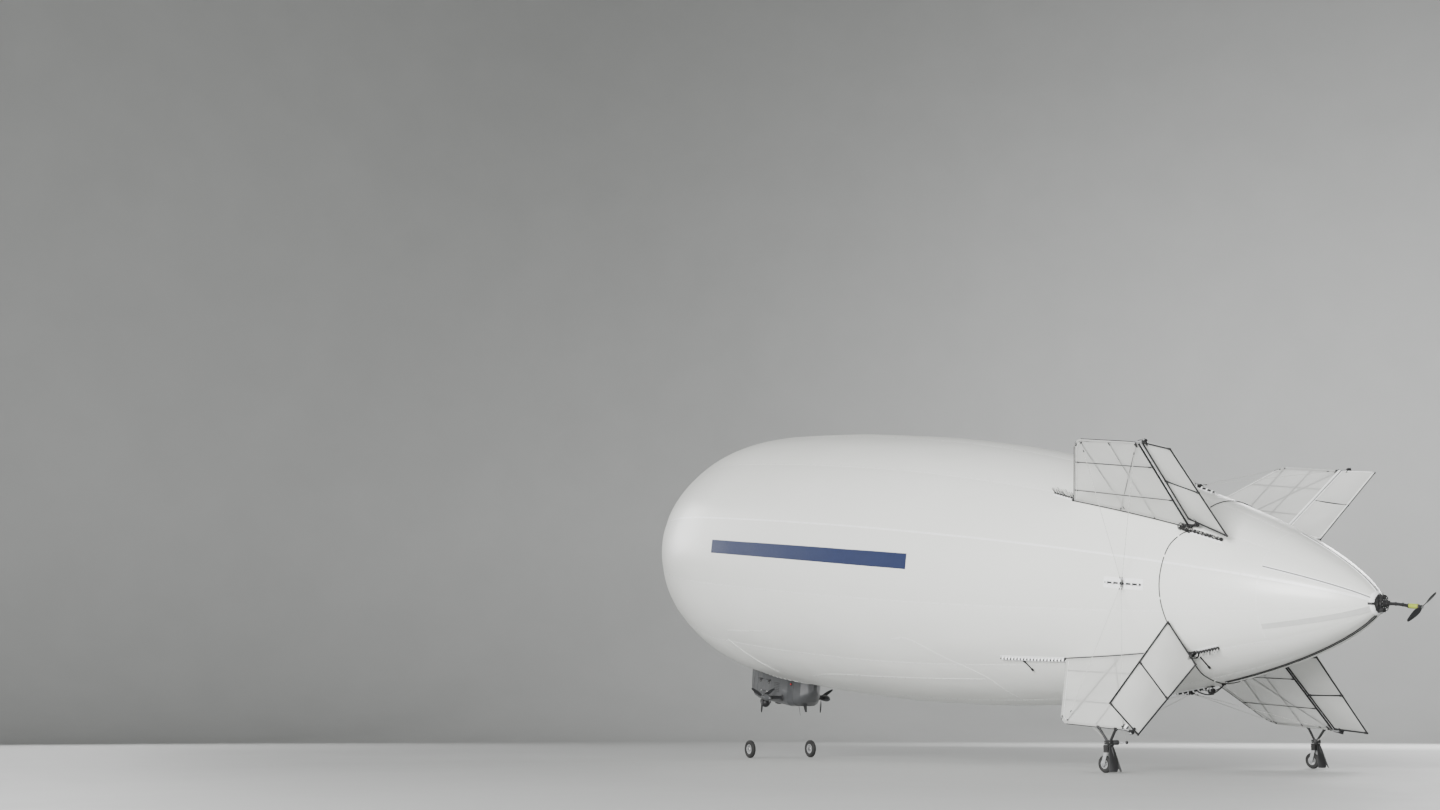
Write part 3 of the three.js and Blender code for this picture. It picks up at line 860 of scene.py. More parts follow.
def along(start: Sequence[float], end: Sequence[float]) -> Matrix:
    """A frame at the start with its x axis towards the end."""
    way = Vector(end) - Vector(start)
    return Matrix.Translation(Vector(start)) @ way.to_track_quat("X", "Z").to_matrix().to_4x4()


def facing(at: Sequence[float], way: Sequence[float]) -> Matrix:
    """A frame at a point with its x axis along a direction."""
    return along(at, Vector(at) + Vector(way))


def fin_frame(angle: float) -> Matrix:
    """The frame of the fin plane at an angle round the hull: x aft, z out from the axis."""
    return SHIP @ Matrix.Rotation(math.radians(angle), 4, "X")


def bolt(
    sketch: Sketch, at: Sequence[float], way: Sequence[float], size: float, finish: int = 0
) -> None:
    """Adds a washer with a hexagon head.

    Args:
        sketch: Where it goes.
        at: The seat's centre.
        way: Direction away from the seat.
        size: Radius of the head.
        finish: Index of the finish.
    """
    turn = facing(at, way)
    washer = [(-size * 0.2, size * 1.4), (size * 0.3, size * 1.4), (size * 0.3, size * 0.4)]
    sketch.turned(washer, 16, finish, turn)
    head = [(size * 0.3, size), (size * 1.1, size), (size * 1.3, size * 0.75)]
    sketch.turned(head, 6, finish, turn)


def arch(
    sketch: Sketch,
    seat: Matrix,
    half: float,
    height: float,
    band: float,
    finish: int = 0,
    thick: float = 0.0016,
) -> None:
    """Adds a fabric loop that stands on a seat like a low bridge.

    Args:
        sketch: Where it goes.
        seat: Frame with x along the band's width, y across and z out.
        half: Half of the loop's span.
        height: Its height.
        band: Width of the fabric.
        finish: Index of the finish.
        thick: Thickness of the fabric.
    """
    rows = []
    for x in (-band / 2, band / 2):
        row = []
        for lift, order in ((0.0, range(9)), (thick, range(8, -1, -1))):
            for k in order:
                turn = math.pi * k / 8
                y = (half + lift) * math.cos(turn)
                row.append(Vector((x, y, (height + lift) * math.sin(turn) ** 0.8)))
        rows.append(row)
    sketch.grid(rows, finish, wrap=True, caps=False, turn=seat)
    for row in rows:
        count = len(row)
        faces = [(k, k + 1, count - 2 - k, count - 1 - k) for k in range(count // 2 - 1)]
        sketch.add(row, faces, finish, seat)


@dataclass(frozen=True)
class HullShape:
    """The envelope's form, with soft gores between its seams."""

    length: float = 10.890
    radius: float = 1.560
    widest: float = 2.710
    tail_power: float = 2.26
    tail_fullness: float = 0.667
    gore: float = 30.0
    seam: float = 15.0
    pillow: float = 0.007
    sway: float = 0.007
    cone: Pair = (10.05, 0.15)
    cone_battens: tuple[float, ...] = (0.0, 64.5, 119.5, 180.0)
    openings: Pair = (0.12, 0.06)

    def radius_at(self, x: float) -> float:
        """The smooth hull's radius at a station."""
        if x < self.widest:
            ahead = (self.widest - x) / self.widest
            return self.radius * math.sqrt(max(1 - ahead**2, 0.0))
        share = min((x - self.widest) / (self.length - self.widest), 1.0)
        return self.radius * (1 - share**self.tail_power) ** self.tail_fullness

    def nose_at(self, radius: float) -> float:
        """The station ahead of the widest where the smooth hull has a radius."""
        return self.widest - math.sqrt(1 - (radius / self.radius) ** 2) * self.widest

    def relief(self, x: float, angle: float) -> float:
        """How far the slack fabric stands out from the smooth form.

        Args:
            x: Station.
            angle: Angle from straight up towards port.

        Returns:
            The distance in metres.
        """
        size = self.radius_at(x) / self.radius
        share = ((angle - self.seam) / self.gore) % 1.0
        soft = math.sin(math.pi * share) ** 0.6 - 0.6
        turn = math.radians(angle)
        at = Vector((x * 1.1, 2.0 * math.cos(turn), 2.0 * math.sin(turn)))
        sway = noise.noise(at) + 0.4 * noise.noise(at * 2.7)
        cone = min(max((x - self.cone[0]) / self.cone[1], 0.0), 1.0)
        fold = 0.0
        for batten in self.cone_battens:
            fold += math.exp(-(((abs(angle) - batten) / 5.0) ** 2))
        return self.pillow * soft * size + self.sway * sway * size - 0.006 * cone * fold * size

    def normal(self, x: float, angle: float) -> Vector:
        """The outward direction at a station and angle."""
        step = 0.004
        low = min(max(x, step), self.length - 2 * step)
        slope = (self.radius_at(low + step) - self.radius_at(low - step)) / (2 * step)
        turn = math.radians(angle)
        return Vector((-slope, -math.sin(turn), math.cos(turn))).normalized()

    def at(self, x: float, angle: float, lift: float = 0.0) -> Vector:
        """A point of the skin.

        Args:
            x: Station.
            angle: Angle from straight up towards port.
            lift: Distance out from the skin.

        Returns:
            The point in the ship frame.
        """
        turn = math.radians(angle)
        r = self.radius_at(x)
        base = Vector((x, -r * math.sin(turn), r * math.cos(turn)))
        return base + self.normal(x, angle) * (self.relief(x, angle) + lift)

    def seat(self, x: float, angle: float, way: Pair = (1.0, 0.0)) -> Matrix:
        """A frame on the skin, with z out of it and x along a course.

        Args:
            x: Station.
            angle: Angle from straight up towards port.
            way: The course's change of station and of angle.

        Returns:
            The frame in the ship frame.
        """
        out = self.normal(x, angle)
        step = 0.01 / max(abs(way[0]) + abs(way[1]) * 0.02, 1e-6)
        ahead = self.at(x + way[0] * step, angle + way[1] * step) - self.at(x, angle)
        fore = (ahead - out * ahead.dot(out)).normalized()
        side = out.cross(fore)
        turn = Matrix((fore, side, out)).transposed().to_4x4()
        return Matrix.Translation(self.at(x, angle)) @ turn

    def ribbon(
        self,
        sketch: Sketch,
        course: Sequence[Pair],
        width: float,
        lift: float = 0.0012,
        finish: int = 0,
        across: int = 1,
    ) -> None:
        """Adds a tape along a course on the skin.

        Args:
            sketch: Where it goes.
            course: Stations and angles.
            width: Width of the tape.
            lift: How far it stands out.
            finish: Index of the finish.
            across: Steps over its width.
        """
        points = [self.at(x, a) for x, a in course]
        rows = []
        for i, (x, a) in enumerate(course):
            out = self.normal(x, a)
            way = points[min(i + 1, len(points) - 1)] - points[max(i - 1, 0)]
            side = out.cross(way).normalized() * (width / 2)
            row = [points[i] - side - out * 0.002]
            row += [points[i] + side * s + out * lift for s in spread(-0.94, 0.94, across + 1)]
            row.append(points[i] + side - out * 0.002)
            rows.append(row)
        sketch.grid(rows, finish)

    def stations(self, nose: int, tail: int) -> list[float]:
        """Stations from the nose opening to the tail opening, closer where it curves more.

        Args:
            nose: Steps ahead of the widest station.
            tail: Steps behind it.

        Returns:
            The stations.
        """
        nose_opening, tail_opening = (opening / self.radius for opening in self.openings)
        first = math.asin(nose_opening)
        turning = [lerp(first, math.pi / 2, i / nose) for i in range(nose)]
        fore = [self.widest * (1 - math.cos(turn)) for turn in turning]
        last = (1 - tail_opening ** (1 / self.tail_fullness)) ** (1 / self.tail_power)
        run = self.length - self.widest
        aft = [self.widest + run * last * math.sin(math.pi / 2 * s) for s in spread(0, 1, tail + 1)]
        return fore + aft


HULL = HullShape()


def course(
    start: Pair, end: Pair, steps: int = 24
) -> list[Pair]:
    """A straight run of stations and angles on the skin."""
    return [(lerp(start[0], end[0], t), lerp(start[1], end[1], t)) for t in spread(0, 1, steps)]


def mirrored(
    run: Sequence[Pair], side: Side
) -> list[Pair]:
    """A port course, or its mirror image to starboard."""
    return [(x, -side.value * a) for x, a in run]


# The hull


@dataclass(frozen=True)
class EnvelopeSize:
    """Sizes of the envelope's own details."""

    wall: float = 0.010
    seam_width: float = 0.016
    cone_start: float = 10.12
    cone_end: float = 10.845
    weld_end: float = 10.84
    bright_seams: tuple[int, int] = (2, 9)
    stripe: Triple = (2.95, 6.55, 88.0)
    stripe_height: float = 0.16


@dataclass(frozen=True)
class Envelope:
    """The gas hull with its seams, battens and stripe."""

    size: EnvelopeSize = EnvelopeSize()

    def build(self) -> None:
        """Builds every piece of the hull."""
        self.skin()
        self.seams()
        self.ballonet_seams()
        self.tail_cone()
        self.nose_battens()
        for side in Side:
            self.stripe(side)

    def skin(self) -> None:
        """The fabric, with its inner face and the rims of the two openings."""
        sketch = Sketch()
        stations = HULL.stations(42, 120)
        angles = [360 * k / 240 for k in range(240)]
        sketch.grid([[HULL.at(x, a) for a in angles] for x in stations], 0, wrap=True)
        inner = HULL.stations(16, 40)
        coarse = angles[::3]
        rows = [[HULL.at(x, a, -self.size.wall) for a in coarse] for x in inner]
        sketch.grid(rows, 0, wrap=True)
        for x in (stations[0], stations[-1]):
            rim = [[HULL.at(x, a, lift) for a in coarse] for lift in (0.0, -self.size.wall)]
            sketch.grid(rim, 0, wrap=True)
        skin = sketch.build("envelope_skin", [FABRIC], SHIP, sharp=60)
        mount(skin, HULL_BODY, Surface.HULL, "envelope")

    def seams(self) -> None:
        """The welded tapes between the gores."""
        sketch = Sketch()
        stations = HULL.stations(24, 80)
        for k in range(12):
            angle = HULL.seam + HULL.gore * k
            bright = k in self.size.bright_seams
            end = self.size.weld_end if bright else self.size.cone_start
            run = [(x, angle) for x in stations if 0.2 < x < end]
            width = self.size.seam_width * (1.3 if bright else 1.0)
            HULL.ribbon(sketch, run, width, finish=int(bright))
        mount(sketch.build("gore_seam_tapes", [SEAM, TAPE], SHIP), HULL_BODY, Surface.HULL)

    def ballonet_seams(self) -> None:
        """The welds of the ballonet and of the gondola's load patches."""
        sketch = Sketch()
        runs = [
            [(6.16, 122.7), (6.41, 122.2), (6.8, 131.0), (7.17, 142.4), (7.25, 157.8), (7.25, 180.0)],
            [(4.10, 152.0), (4.63, 147.6), (5.93, 144.6), (7.14, 144.2)],
            [(2.77, 133.7), (3.0, 143.0), (3.27, 154.5)],
            [(2.93, 127.7), (3.86, 124.8)],
        ]
        for side in Side:
            for run in runs:
                HULL.ribbon(sketch, mirrored(smoothed(run, 40), side), 0.020)
        mount(sketch.build("ballonet_seam_tapes", [SEAM], SHIP), HULL_BODY, Surface.HULL)

    def tail_cone(self) -> None:
        """Battens and pockets of the tail cone, grey bands of painted shade along its lower folds, and
        the seam round its front.
        """
        sketch = Sketch()
        start, end = self.size.cone_start, self.size.cone_end
        HULL.ribbon(sketch, [(start, a) for a in spread(-180, 180, 181)], 0.014, 0.0008, 3)
        for angle in (0.0, 64.5, -64.5, 180.0):
            run = course((start + 0.01, angle), (end, angle), 30)
            HULL.ribbon(sketch, run, 0.030, 0.0025, 0, across=2)
            HULL.ribbon(sketch, run, 0.0095, 0.0045, 2)
        # Broad grey bands of painted shade along the folds at ±119.5.
        for angle in (119.5, -119.5):
            run = course((start + 0.01, angle), (end, angle), 30)
            HULL.ribbon(sketch, run, 0.050, 0.0030, 1, across=4)
        cone = sketch.build("tail_cone_battens", [TAPE, FOLD_SHADE, BATTEN, SEAM], SHIP)
        mount(cone, HULL_BODY, Surface.HULL)

    def nose_battens(self) -> None:
        """The battens that stiffen the bow, in their fabric pockets."""
        sketch = Sketch()
        for k in range(12):
            angle = 30.0 * k
            run = course((0.055, angle), (0.62, angle), 26)
            HULL.ribbon(sketch, run, 0.046, 0.004, 0, across=3)
            rod = [HULL.at(x, angle, 0.0075) for x, _ in run]
            sketch.tube(rod, 0.006, 8, 0)
            sketch.tube([HULL.at(x, angle, 0.0075) for x in (0.615, 0.64)], 0.008, 8, 1)
        HULL.ribbon(sketch, [(0.66, a) for a in spread(0, 360, 121)], 0.03)
        mount(sketch.build("nose_battens", [TAPE, BLACK], SHIP), HULL_BODY, Surface.HULL)

    def stripe(self, side: Side) -> None:
        """The plain band along the flank.

        Args:
            side: The flank.
        """
        sketch = Sketch()
        first, last, angle = self.size.stripe
        run = mirrored(course((first, angle), (last, angle), 90), side)
        HULL.ribbon(sketch, run, self.size.stripe_height, 0.0018, 0, across=8)
        mount(sketch.build(f"flank_stripe_{side.label}", [STRIPE], SHIP), HULL_BODY, Surface.HULL)


@dataclass(frozen=True)
class LacedStrip:
    """A rod laced to the hull through fabric loops on a sewn patch."""

    name: str
    start: Pair
    end: Pair
    loops: int
    width: float = 0.06
    rod: float = 0.0055
    band: float = 0.016
    tails: float = 0.0
    droop: float = 0.0
    tangle: int = 0
    strut: tuple[Pair, Pair] | None = None

    def build(self, sides: Iterable[Side] = Side) -> None:
        """Builds the strip on each side.

        Args:
            sides: The sides to build.
        """
        for side in sides:
            sketch = Sketch()
            self.lay(sketch, side)
            finishes = [TAPE, BLACK, CABLE, CORD, GREY_SLEEVE]
            strip = sketch.build(f"{self.name}_{side.label}", finishes, SHIP)
            mount(strip, HULL_BODY, Surface.HULL)

    def lay(self, sketch: Sketch, side: Side) -> None:
        """Adds the patch, the rod, its loops and the tails of the ties, which are white cord with grey
        and black ones among them as painted shade.

        Args:
            sketch: Where they go.
            side: The side of the ship.
        """
        dice = random.Random(self.name + side.label)
        run = mirrored(course(self.start, self.end, 20), side)
        HULL.ribbon(sketch, run, self.width, 0.0016, 0, across=2)
        sketch.tube([HULL.at(x, a, self.rod + 0.003) for x, a in run], self.rod, 10, 1)
        way = (run[-1][0] - run[0][0], run[-1][1] - run[0][1])
        for share in spread(0.04, 0.96, self.loops):
            x, a = lerp(run[0][0], run[-1][0], share), lerp(run[0][1], run[-1][1], share)
            seat = HULL.seat(x, a, way)
            if self.tails:
                r = self.rod + 0.005
                knot = [(-0.012, r * 0.6), (-0.007, r * 1.05), (0.007, r), (0.012, r * 0.6)]
                sketch.turned(knot, 10, 2, seat @ Matrix.Translation((0, 0, self.rod + 0.003)))
                # The tails are white cord; the black and the grey ones are painted shade along them.
                for finish in (3, 2, 4, 3):
                    tail = self.tail(seat, dice)
                    sketch.tube(tail, lambda t: 0.0036 * (1 - 0.4 * t), 5, finish)
            else:
                arch(sketch, seat, self.rod + 0.004, 2 * self.rod + 0.009, self.band, 0)
        if self.tangle:
            self.knots(sketch, HULL.seat(*run[0], way), dice)
        if self.strut:
            ends = [HULL.at(x, a, 0.012) for x, a in mirrored(self.strut, side)]
            sketch.tube(ends, 0.0062, 10, 1)
            for end in ends:
                sketch.turned([(-0.012, 0.010), (0.012, 0.010)], 14, 2, facing(end, ends[1] - ends[0]))

    def knots(self, sketch: Sketch, seat: Matrix, dice: random.Random) -> None:
        """Adds the mass of ties, loops and connectors at the strip's fore end.

        Args:
            sketch: Where it goes.
            seat: Frame of the strip's end.
            dice: Source of the small differences.
        """
        sketch.block((-0.030, -0.018, 0.001), (0.016, 0.018, 0.030), 1, seat)
        sketch.block((-0.052, -0.012, 0.004), (-0.034, 0.014, 0.024), 2, seat)
        ring = [(0.028 * math.sin(t), -0.01, 0.034 + 0.026 * math.cos(t)) for t in spread(0, 6.0, 18)]
        sketch.tube(ring, 0.0032, 7, 2, turn=seat @ Matrix.Translation((-0.045, 0, 0)))
        for _ in range(self.tangle):
            reach = dice.uniform(0.02, 0.05)
            way = [
                (dice.uniform(-0.07, 0.05), dice.uniform(-0.03, 0.03), reach * s)
                for s in (0.2, 0.9, 1.0, 0.3)
            ]
            sketch.tube(through(way, 14), dice.uniform(0.002, 0.0045), 6, 2, turn=seat)

    def tail(self, seat: Matrix, dice: random.Random) -> list[Vector]:
        """The centre line of one tie's tail.

        Args:
            seat: The loop's frame.
            dice: Source of the small differences.

        Returns:
            Its points.
        """
        down = SHIP.to_3x3().inverted() @ Vector((0, 0, -1))
        start = seat @ Vector((0, 0, 2 * self.rod))
        lean = Vector((dice.uniform(-0.4, 0.4), dice.uniform(-0.3, 0.3), 1))
        out = (seat.to_3x3() @ lean).normalized()
        length = self.tails * dice.uniform(0.75, 1.1)
        return [
            start + out * (length * t) + down * (self.droop * length * t * t)
            for t in spread(0, 1, 6)
        ]


STRIPS = (
    LacedStrip("upper_fore_strip", (8.04, 46.0), (8.29, 47.2), 8, rod=0.0045, tails=0.080),
    LacedStrip(
        "upper_aft_strip",
        (9.44, 50.6),
        (9.765, 51.6),
        10,
        rod=0.0115,
        tails=0.050,
        droop=0.6,
        tangle=20,
    ),
    LacedStrip(
        "lower_fore_strip",
        (7.55, 130.5),
        (8.32, 132.7),
        20,
        rod=0.0075,
        band=0.021,
        strut=((7.81, 132.4), (7.84, 137.6)),
    ),
    LacedStrip(
        "lower_aft_strip",
        (9.52, 135.0),
        (9.74, 133.0),
        9,
        rod=0.0090,
        tails=0.040,
        droop=0.2,
        tangle=8,
        strut=((9.545, 136.5), (9.55, 149.0)),
    ),
)


@dataclass(frozen=True)
class StaySize:
    """Where the stays run, from the patch's middle to two points of each fin's tip."""

    middle: float = 9.03
    length: float = 0.33
    tips: tuple[Pair, ...] = ((8.890, 1.795), (9.480, 1.750))
    rod: float = 0.0075
    cord: float = 0.0018


@dataclass(frozen=True)
class StayPatch:
    """A patch between two fins with the stays that it anchors."""

    name: str
    angle: float
    size: StaySize = StaySize()

    def build(self) -> None:
        """Builds the patch and its stays."""
        sketch = Sketch()
        size = self.size
        base, run = (
            course(*[(size.middle + s * size.length / 2, self.angle) for s in (-reach, reach)], 20)
            for reach in (1.1, 1)
        )
        HULL.ribbon(sketch, base, 0.10, 0.0014, 0, across=3)
        HULL.ribbon(sketch, base, 0.052, 0.0032, 0, across=2)
        sketch.tube([HULL.at(x, a, size.rod + 0.0035) for x, a in run], size.rod, 10, 1)
        for share in spread(0.06, 0.94, 6):
            seat = HULL.seat(lerp(run[0][0], run[-1][0], share), self.angle)
            arch(sketch, seat, 0.013, 0.022, 0.016, 0)
        seat = HULL.seat(size.middle, self.angle)
        toggle = [(0.0, -0.034, 0.024), (0.0, -0.012, 0.028), (0.0, 0.012, 0.028), (0.0, 0.034, 0.024)]
        sketch.tube(through(toggle, 12), 0.0075, 10, 1, turn=seat)
        hub = seat @ Matrix.Translation((0, 0, 0.026)) @ TO_Y
        sketch.turned([(-0.010, 0.014), (0.010, 0.014)], 14, 1, hub)
        patch = sketch.build(f"stay_patch_{self.name}", [TAPE, BLACK], SHIP)
        mount(patch, HULL_BODY, Surface.HULL, f"stay_set_{self.name}")
        self.stays()

    def stays(self) -> None:
        """The four taut lines, each with its knot and tensioner."""
        sketch = Sketch()
        size = self.size
        root = HULL.at(size.middle, self.angle, 0.026)
        for fin in FIN_ANGLES.values():
            offset = (fin - self.angle + 540) % 360 - 180
            if abs(offset) > 60:
                continue
            side = math.copysign(0.014, offset)
            turn = Matrix.Rotation(math.radians(fin), 3, "X")
            for x, z in size.tips:
                tip = turn @ Vector((x, side, z))
                sketch.tube([root, root.lerp(tip, 0.5), tip], size.cord, 6, 0)
                for share, half in ((0.035, 0.012), (0.93, 0.016)):
                    ends = [root.lerp(tip, share), root.lerp(tip, share + half)]
                    sketch.tube(ends, 0.0042, 8, 1)
                sketch.turned([(-0.006, 0.007), (0.006, 0.007)], 10, 1, facing(tip, tip - root))
        mount(sketch.build(f"stay_lines_{self.name}", [CORD, BLACK], SHIP), HULL_BODY, Surface.CABLE)


# Tail surfaces


@dataclass(frozen=True)
class FinSize:
    """A fixed fin's outline in its own plane, x aft and z out from the hull's axis."""

    root_lead: Pair = (8.295, 1.080)
    tip_lead: Pair = (8.828, 1.815)
    root_trail: Pair = (9.444, 0.780)
    tip_trail: Pair = (9.510, 1.762)
    corner: float = 0.070
    upper_film: float = 0.0112
    lower_film: float = 0.0088
    edge_tube: float = 0.0088
    hinge_tube: float = 0.0086
    rib_tube: float = 0.0066
    ribs: tuple[tuple[Pair, Pair], ...] = (
        ((8.655, 1.562), (9.485, 1.483)),
        ((8.402, 1.220), (9.468, 1.102)),
    )
    spars: tuple[tuple[Pair, Pair], ...] = (
        ((8.872, 1.803), (8.850, 0.99)),
        ((9.192, 1.778), (9.132, 0.87)),
        ((9.490, 1.750), (8.800, 0.985)),
    )
    arm_half: float = 0.009
    arm_depth: float = 0.011
    root_arm: Triple = (9.400, 9.553, 0.801)
    tip_arm: Triple = (9.470, 9.596, 1.763)
    boss: float = 0.014
    servo: Quad = (9.574, 9.614, 1.766, 1.790)


class FixedFin:
    """A fixed fin: film over a frame of tubes, with the arms that hold its panel."""

    def __init__(self, name: str, angle: float, size: FinSize = FinSize()) -> None:
        """Keeps the place.

        Args:
            name: The fin's name in the frame.
            angle: Its angle round the hull.
            size: Its sizes.
        """
        self.name = name
        self.size = size
        self.frame = fin_frame(angle)
        self.up = math.copysign(1.0, angle)

    def lead(self, z: float) -> float:
        """The leading edge's station at a height."""
        return station_on(self.size.root_lead, self.size.tip_lead, z)

    def trail(self, z: float) -> float:
        """The trailing edge's station at a height."""
        return station_on(self.size.root_trail, self.size.tip_trail, z)

    def root(self, edge: Callable[[float], float]) -> float:
        """The height at which an edge meets the hull."""
        low, high = 0.6, 1.3
        for _ in range(30):
            middle = (low + high) / 2
            if HULL.radius_at(edge(middle)) > middle:
                low = middle
            else:
                high = middle
        return low

    def lead_line(self, count: int = 30) -> list[Vector]:
        """The leading edge from the hull round the rounded corner to the tip."""
        start = self.root(self.lead) - 0.01
        tip = self.size.tip_lead[1]
        corner = self.size.corner
        straight = [Vector((self.lead(z), 0, z)) for z in spread(start, tip - corner, count - 9)]
        bend = []
        for k in range(1, 10):
            turn = math.pi / 2 * k / 9
            z = tip - corner * (1 - math.sin(turn))
            bend.append(Vector((self.lead(z) + corner * (1 - math.cos(turn)), 0, z)))
        return straight + bend

    def trail_line(self, count: int, inset: float) -> list[Vector]:
        """The trailing edge from the hull to a distance inside the tip."""
        low, high = self.root(self.trail) - 0.01, self.size.tip_trail[1] - inset
        return [Vector((self.trail(z), 0, z)) for z in spread(low, high, count)]

    def build(self) -> None:
        """Builds the fin's pieces."""
        self.tubes()
        self.skins()
        self.fittings()

    def tubes(self) -> None:
        """The frame: edge tubes, ribs and spars with their sockets."""
        sketch = Sketch()
        size = self.size
        lead = self.lead_line()
        sketch.tube(lead, size.edge_tube, 12, 0)
        trail = self.trail_line(8, size.edge_tube)
        hinge = [p + Vector((0.0055, -0.0035 * self.up, 0)) for p in trail]
        sketch.tube(hinge, size.hinge_tube, 14, 1)
        corner = lead[-1] - Vector((0.01, 0, size.edge_tube))
        sketch.tube([corner.lerp(trail[-1], t) for t in spread(0, 1, 8)], size.edge_tube, 12, 0)
        start, end = self.root(self.lead), self.root(self.trail)
        for y in (-0.012, 0.012):
            foot = [
                (x, y, HULL.radius_at(x) + 0.006)
                for x in spread(self.lead(start) - 0.01, self.trail(end) + 0.01, 24)
            ]
            sketch.tube(foot, 0.0050, 8, 1)
        fore = Matrix.Translation((self.lead(start) - 0.012, 0, start + 0.004))
        toe = [(-0.020, 0.010), (-0.008, 0.018), (0.016, 0.016), (0.022, 0.008)]
        sketch.turned(toe, 18, 1, fore)
        for bars, y in ((size.ribs, -0.0040 * self.up), (size.spars, -0.0022 * self.up)):
            for (x0, z0), (x1, z1) in bars:
                ends = [Vector((x0, y, z0)), Vector((x1, y, z1))]
                sketch.tube(ends, size.rib_tube, 10, 0)
                for a, b in (ends, ends[::-1]):
                    way = (b - a).normalized()
                    sketch.tube([a, a + way * 0.032], size.rib_tube * 1.35, 12, 1)
        frame = sketch.build(f"fin_tubes_{self.name}", [CARBON, BLACK], self.frame)
        mount(frame, HULL_BODY, Surface.CARBON)

    def face(self, out: float, sink: float) -> list[list[Vector]]:
        """One face's film, drawn in between the tubes.

        Args:
            out: Its distance from the fin's plane, with the sign of y.
            sink: How far it is drawn in.

        Returns:
            Rows of points from the root to the tip.
        """
        across = 30
        lead = self.lead_line(34)
        trail = [p - Vector((0.004, 0, 0)) for p in self.trail_line(len(lead), 0.002)]
        stations = spread(lead[0].x, trail[0].x, across)
        foot = [Vector((x, 0, HULL.radius_at(x) - 0.01)) for x in stations]
        top = [lead[-1].lerp(trail[-1], t) for t in spread(0, 1, across)]
        lines = self.size.ribs + self.size.spars
        bars = [(Vector((a, 0, b)), Vector((c, 0, d))) for (a, b), (c, d) in lines]
        rows = []
        for i, v in enumerate(spread(0, 1, len(lead))):
            row = []
            for j, u in enumerate(spread(0, 1, across)):
                point = lead[i] * (1 - u) + trail[i] * u + foot[j] * (1 - v) + top[j] * v
                point -= (foot[0] * (1 - u) + foot[-1] * u) * (1 - v)
                point -= (top[0] * (1 - u) + top[-1] * u) * v
                edge = min(u, 1 - u, v, 1 - v)
                drawn = sink * min(edge * 7, 1.0)
                for a, b in bars:
                    run = b - a
                    share = min(max((point - a).dot(run) / run.length_squared, 0), 1)
                    gap = (point - a - run * share).length
                    drawn *= min(gap / 0.09 + 0.12, 1.0)
                slack = 0.0012 * noise.noise(point * 4.0 + Vector((0, out * 400, 0)))
                side = math.copysign(1.0, out)
                row.append(point + Vector((0, out - side * (drawn - slack * edge * 4), 0)))
            rows.append(row)
        return rows

    def skins(self) -> None:
        """The film on both faces, the pockets round the edges and the piping."""
        sketch = Sketch()
        size = self.size
        up = self.up
        sketch.grid(self.face(up * size.upper_film, 0.0035), 0)
        sketch.grid(self.face(-up * size.lower_film, 0.0012), 0)
        lead = self.lead_line(34)
        trail = self.trail_line(10, 0.004)
        top = [lead[-1].lerp(trail[-1], t) for t in spread(0, 1, 12)]
        sketch.tube([*lead, *top[1:]], size.upper_film + 0.0002, 14, 0)
        sketch.tube([p + Vector((-0.0015, 0.0045 * up, 0)) for p in trail], 0.0112, 14, 1)
        piping = [p + Vector((-0.0085, -0.0085 * up, 0.001)) for p in lead[:-9]]
        sketch.tube(piping, 0.0046, 8, 2)
        sketch.tube([p + Vector((0, 0, 0.0108)) for p in top], 0.0038, 8, 2)
        for side in (-1, 1):
            line = [p + Vector((0.018, side * 0.0120, -0.010)) for p in lead[2:-2]]
            sketch.tube(line, 0.0014, 6, 1)
        skin = sketch.build(f"fin_film_{self.name}", [FILM, TAPE, BLACK], self.frame, sharp=50)
        mount(skin, HULL_BODY, Surface.FILM, f"fin_{self.name}")

    def fittings(self) -> None:
        """The arms with the panel's bearings, the actuator and the corner fitting."""
        sketch = Sketch()
        size = self.size
        half = size.arm_half
        for (start, end, z), finish in ((size.root_arm, 0), (size.tip_arm, 2)):
            top = z + size.arm_depth
            sketch.block((start, -half, z), (end, half, top), finish)
            hub = self.frame_at(end, z)
            boss = [(x, size.boss) for x in (0, 0.0015, size.arm_depth)]
            sketch.turned(boss, 24, 0, hub)
            sketch.turned([(0.001, 0.0075), (size.arm_depth + 0.004, 0.0075)], 18, 1, hub)
        first, last, low, high = size.servo
        sketch.block((first, -0.015, low), (last, 0.015, high - 0.007), 0)
        sketch.block((first + 0.005, -0.0125, high - 0.007), (last - 0.005, 0.0125, high), 0)
        horn = self.frame_at(last - 0.016, high)
        sketch.turned([(0, 0.012), (0.006, 0.012), (0.010, 0.009)], 20, 1, horn)
        z = size.tip_arm[2] + size.arm_depth
        lead = [(9.515, 0.006, z + 0.001), (9.545, 0.010, z + 0.006), (first, 0.004, z + 0.008)]
        sketch.tube(through(lead, 12), 0.003, 8, 0)
        tip = size.tip_trail[1]
        sketch.tube([(9.476, 0, tip - 0.045), (9.500, 0, tip + 0.008)], 0.0135, 14, 0)
        corner = self.lead_line()[-7]
        way = Vector((0.62, 0, 0.78))
        sketch.tube([corner - way * 0.03, corner + way * 0.010], 0.0130, 14, 0)
        bolt(sketch, corner + Vector((0, 0.0135, 0)), (0, 1, 0), 0.004, 1)
        bolt(sketch, corner - Vector((0, 0.0135, 0)), (0, -1, 0), 0.004, 1)
        for x in (size.root_arm[0] + 0.012, size.root_arm[0] + 0.034):
            for side in (-1, 1):
                bolt(sketch, (x, side * half, size.root_arm[2] + 0.0055), (0, side, 0), 0.0035, 1)
        finishes = [BLACK, ALUMINIUM, GREY_PAINT]
        piece = sketch.build(f"fin_fittings_{self.name}", finishes, self.frame, bevel=0.0012)
        mount(piece, HULL_BODY, Surface.BLACK)

    def frame_at(self, x: float, z: float) -> Matrix:
        """A frame in the fin's plane with its x axis out along z."""
        return facing((x, 0, z), (0, 0, 1))


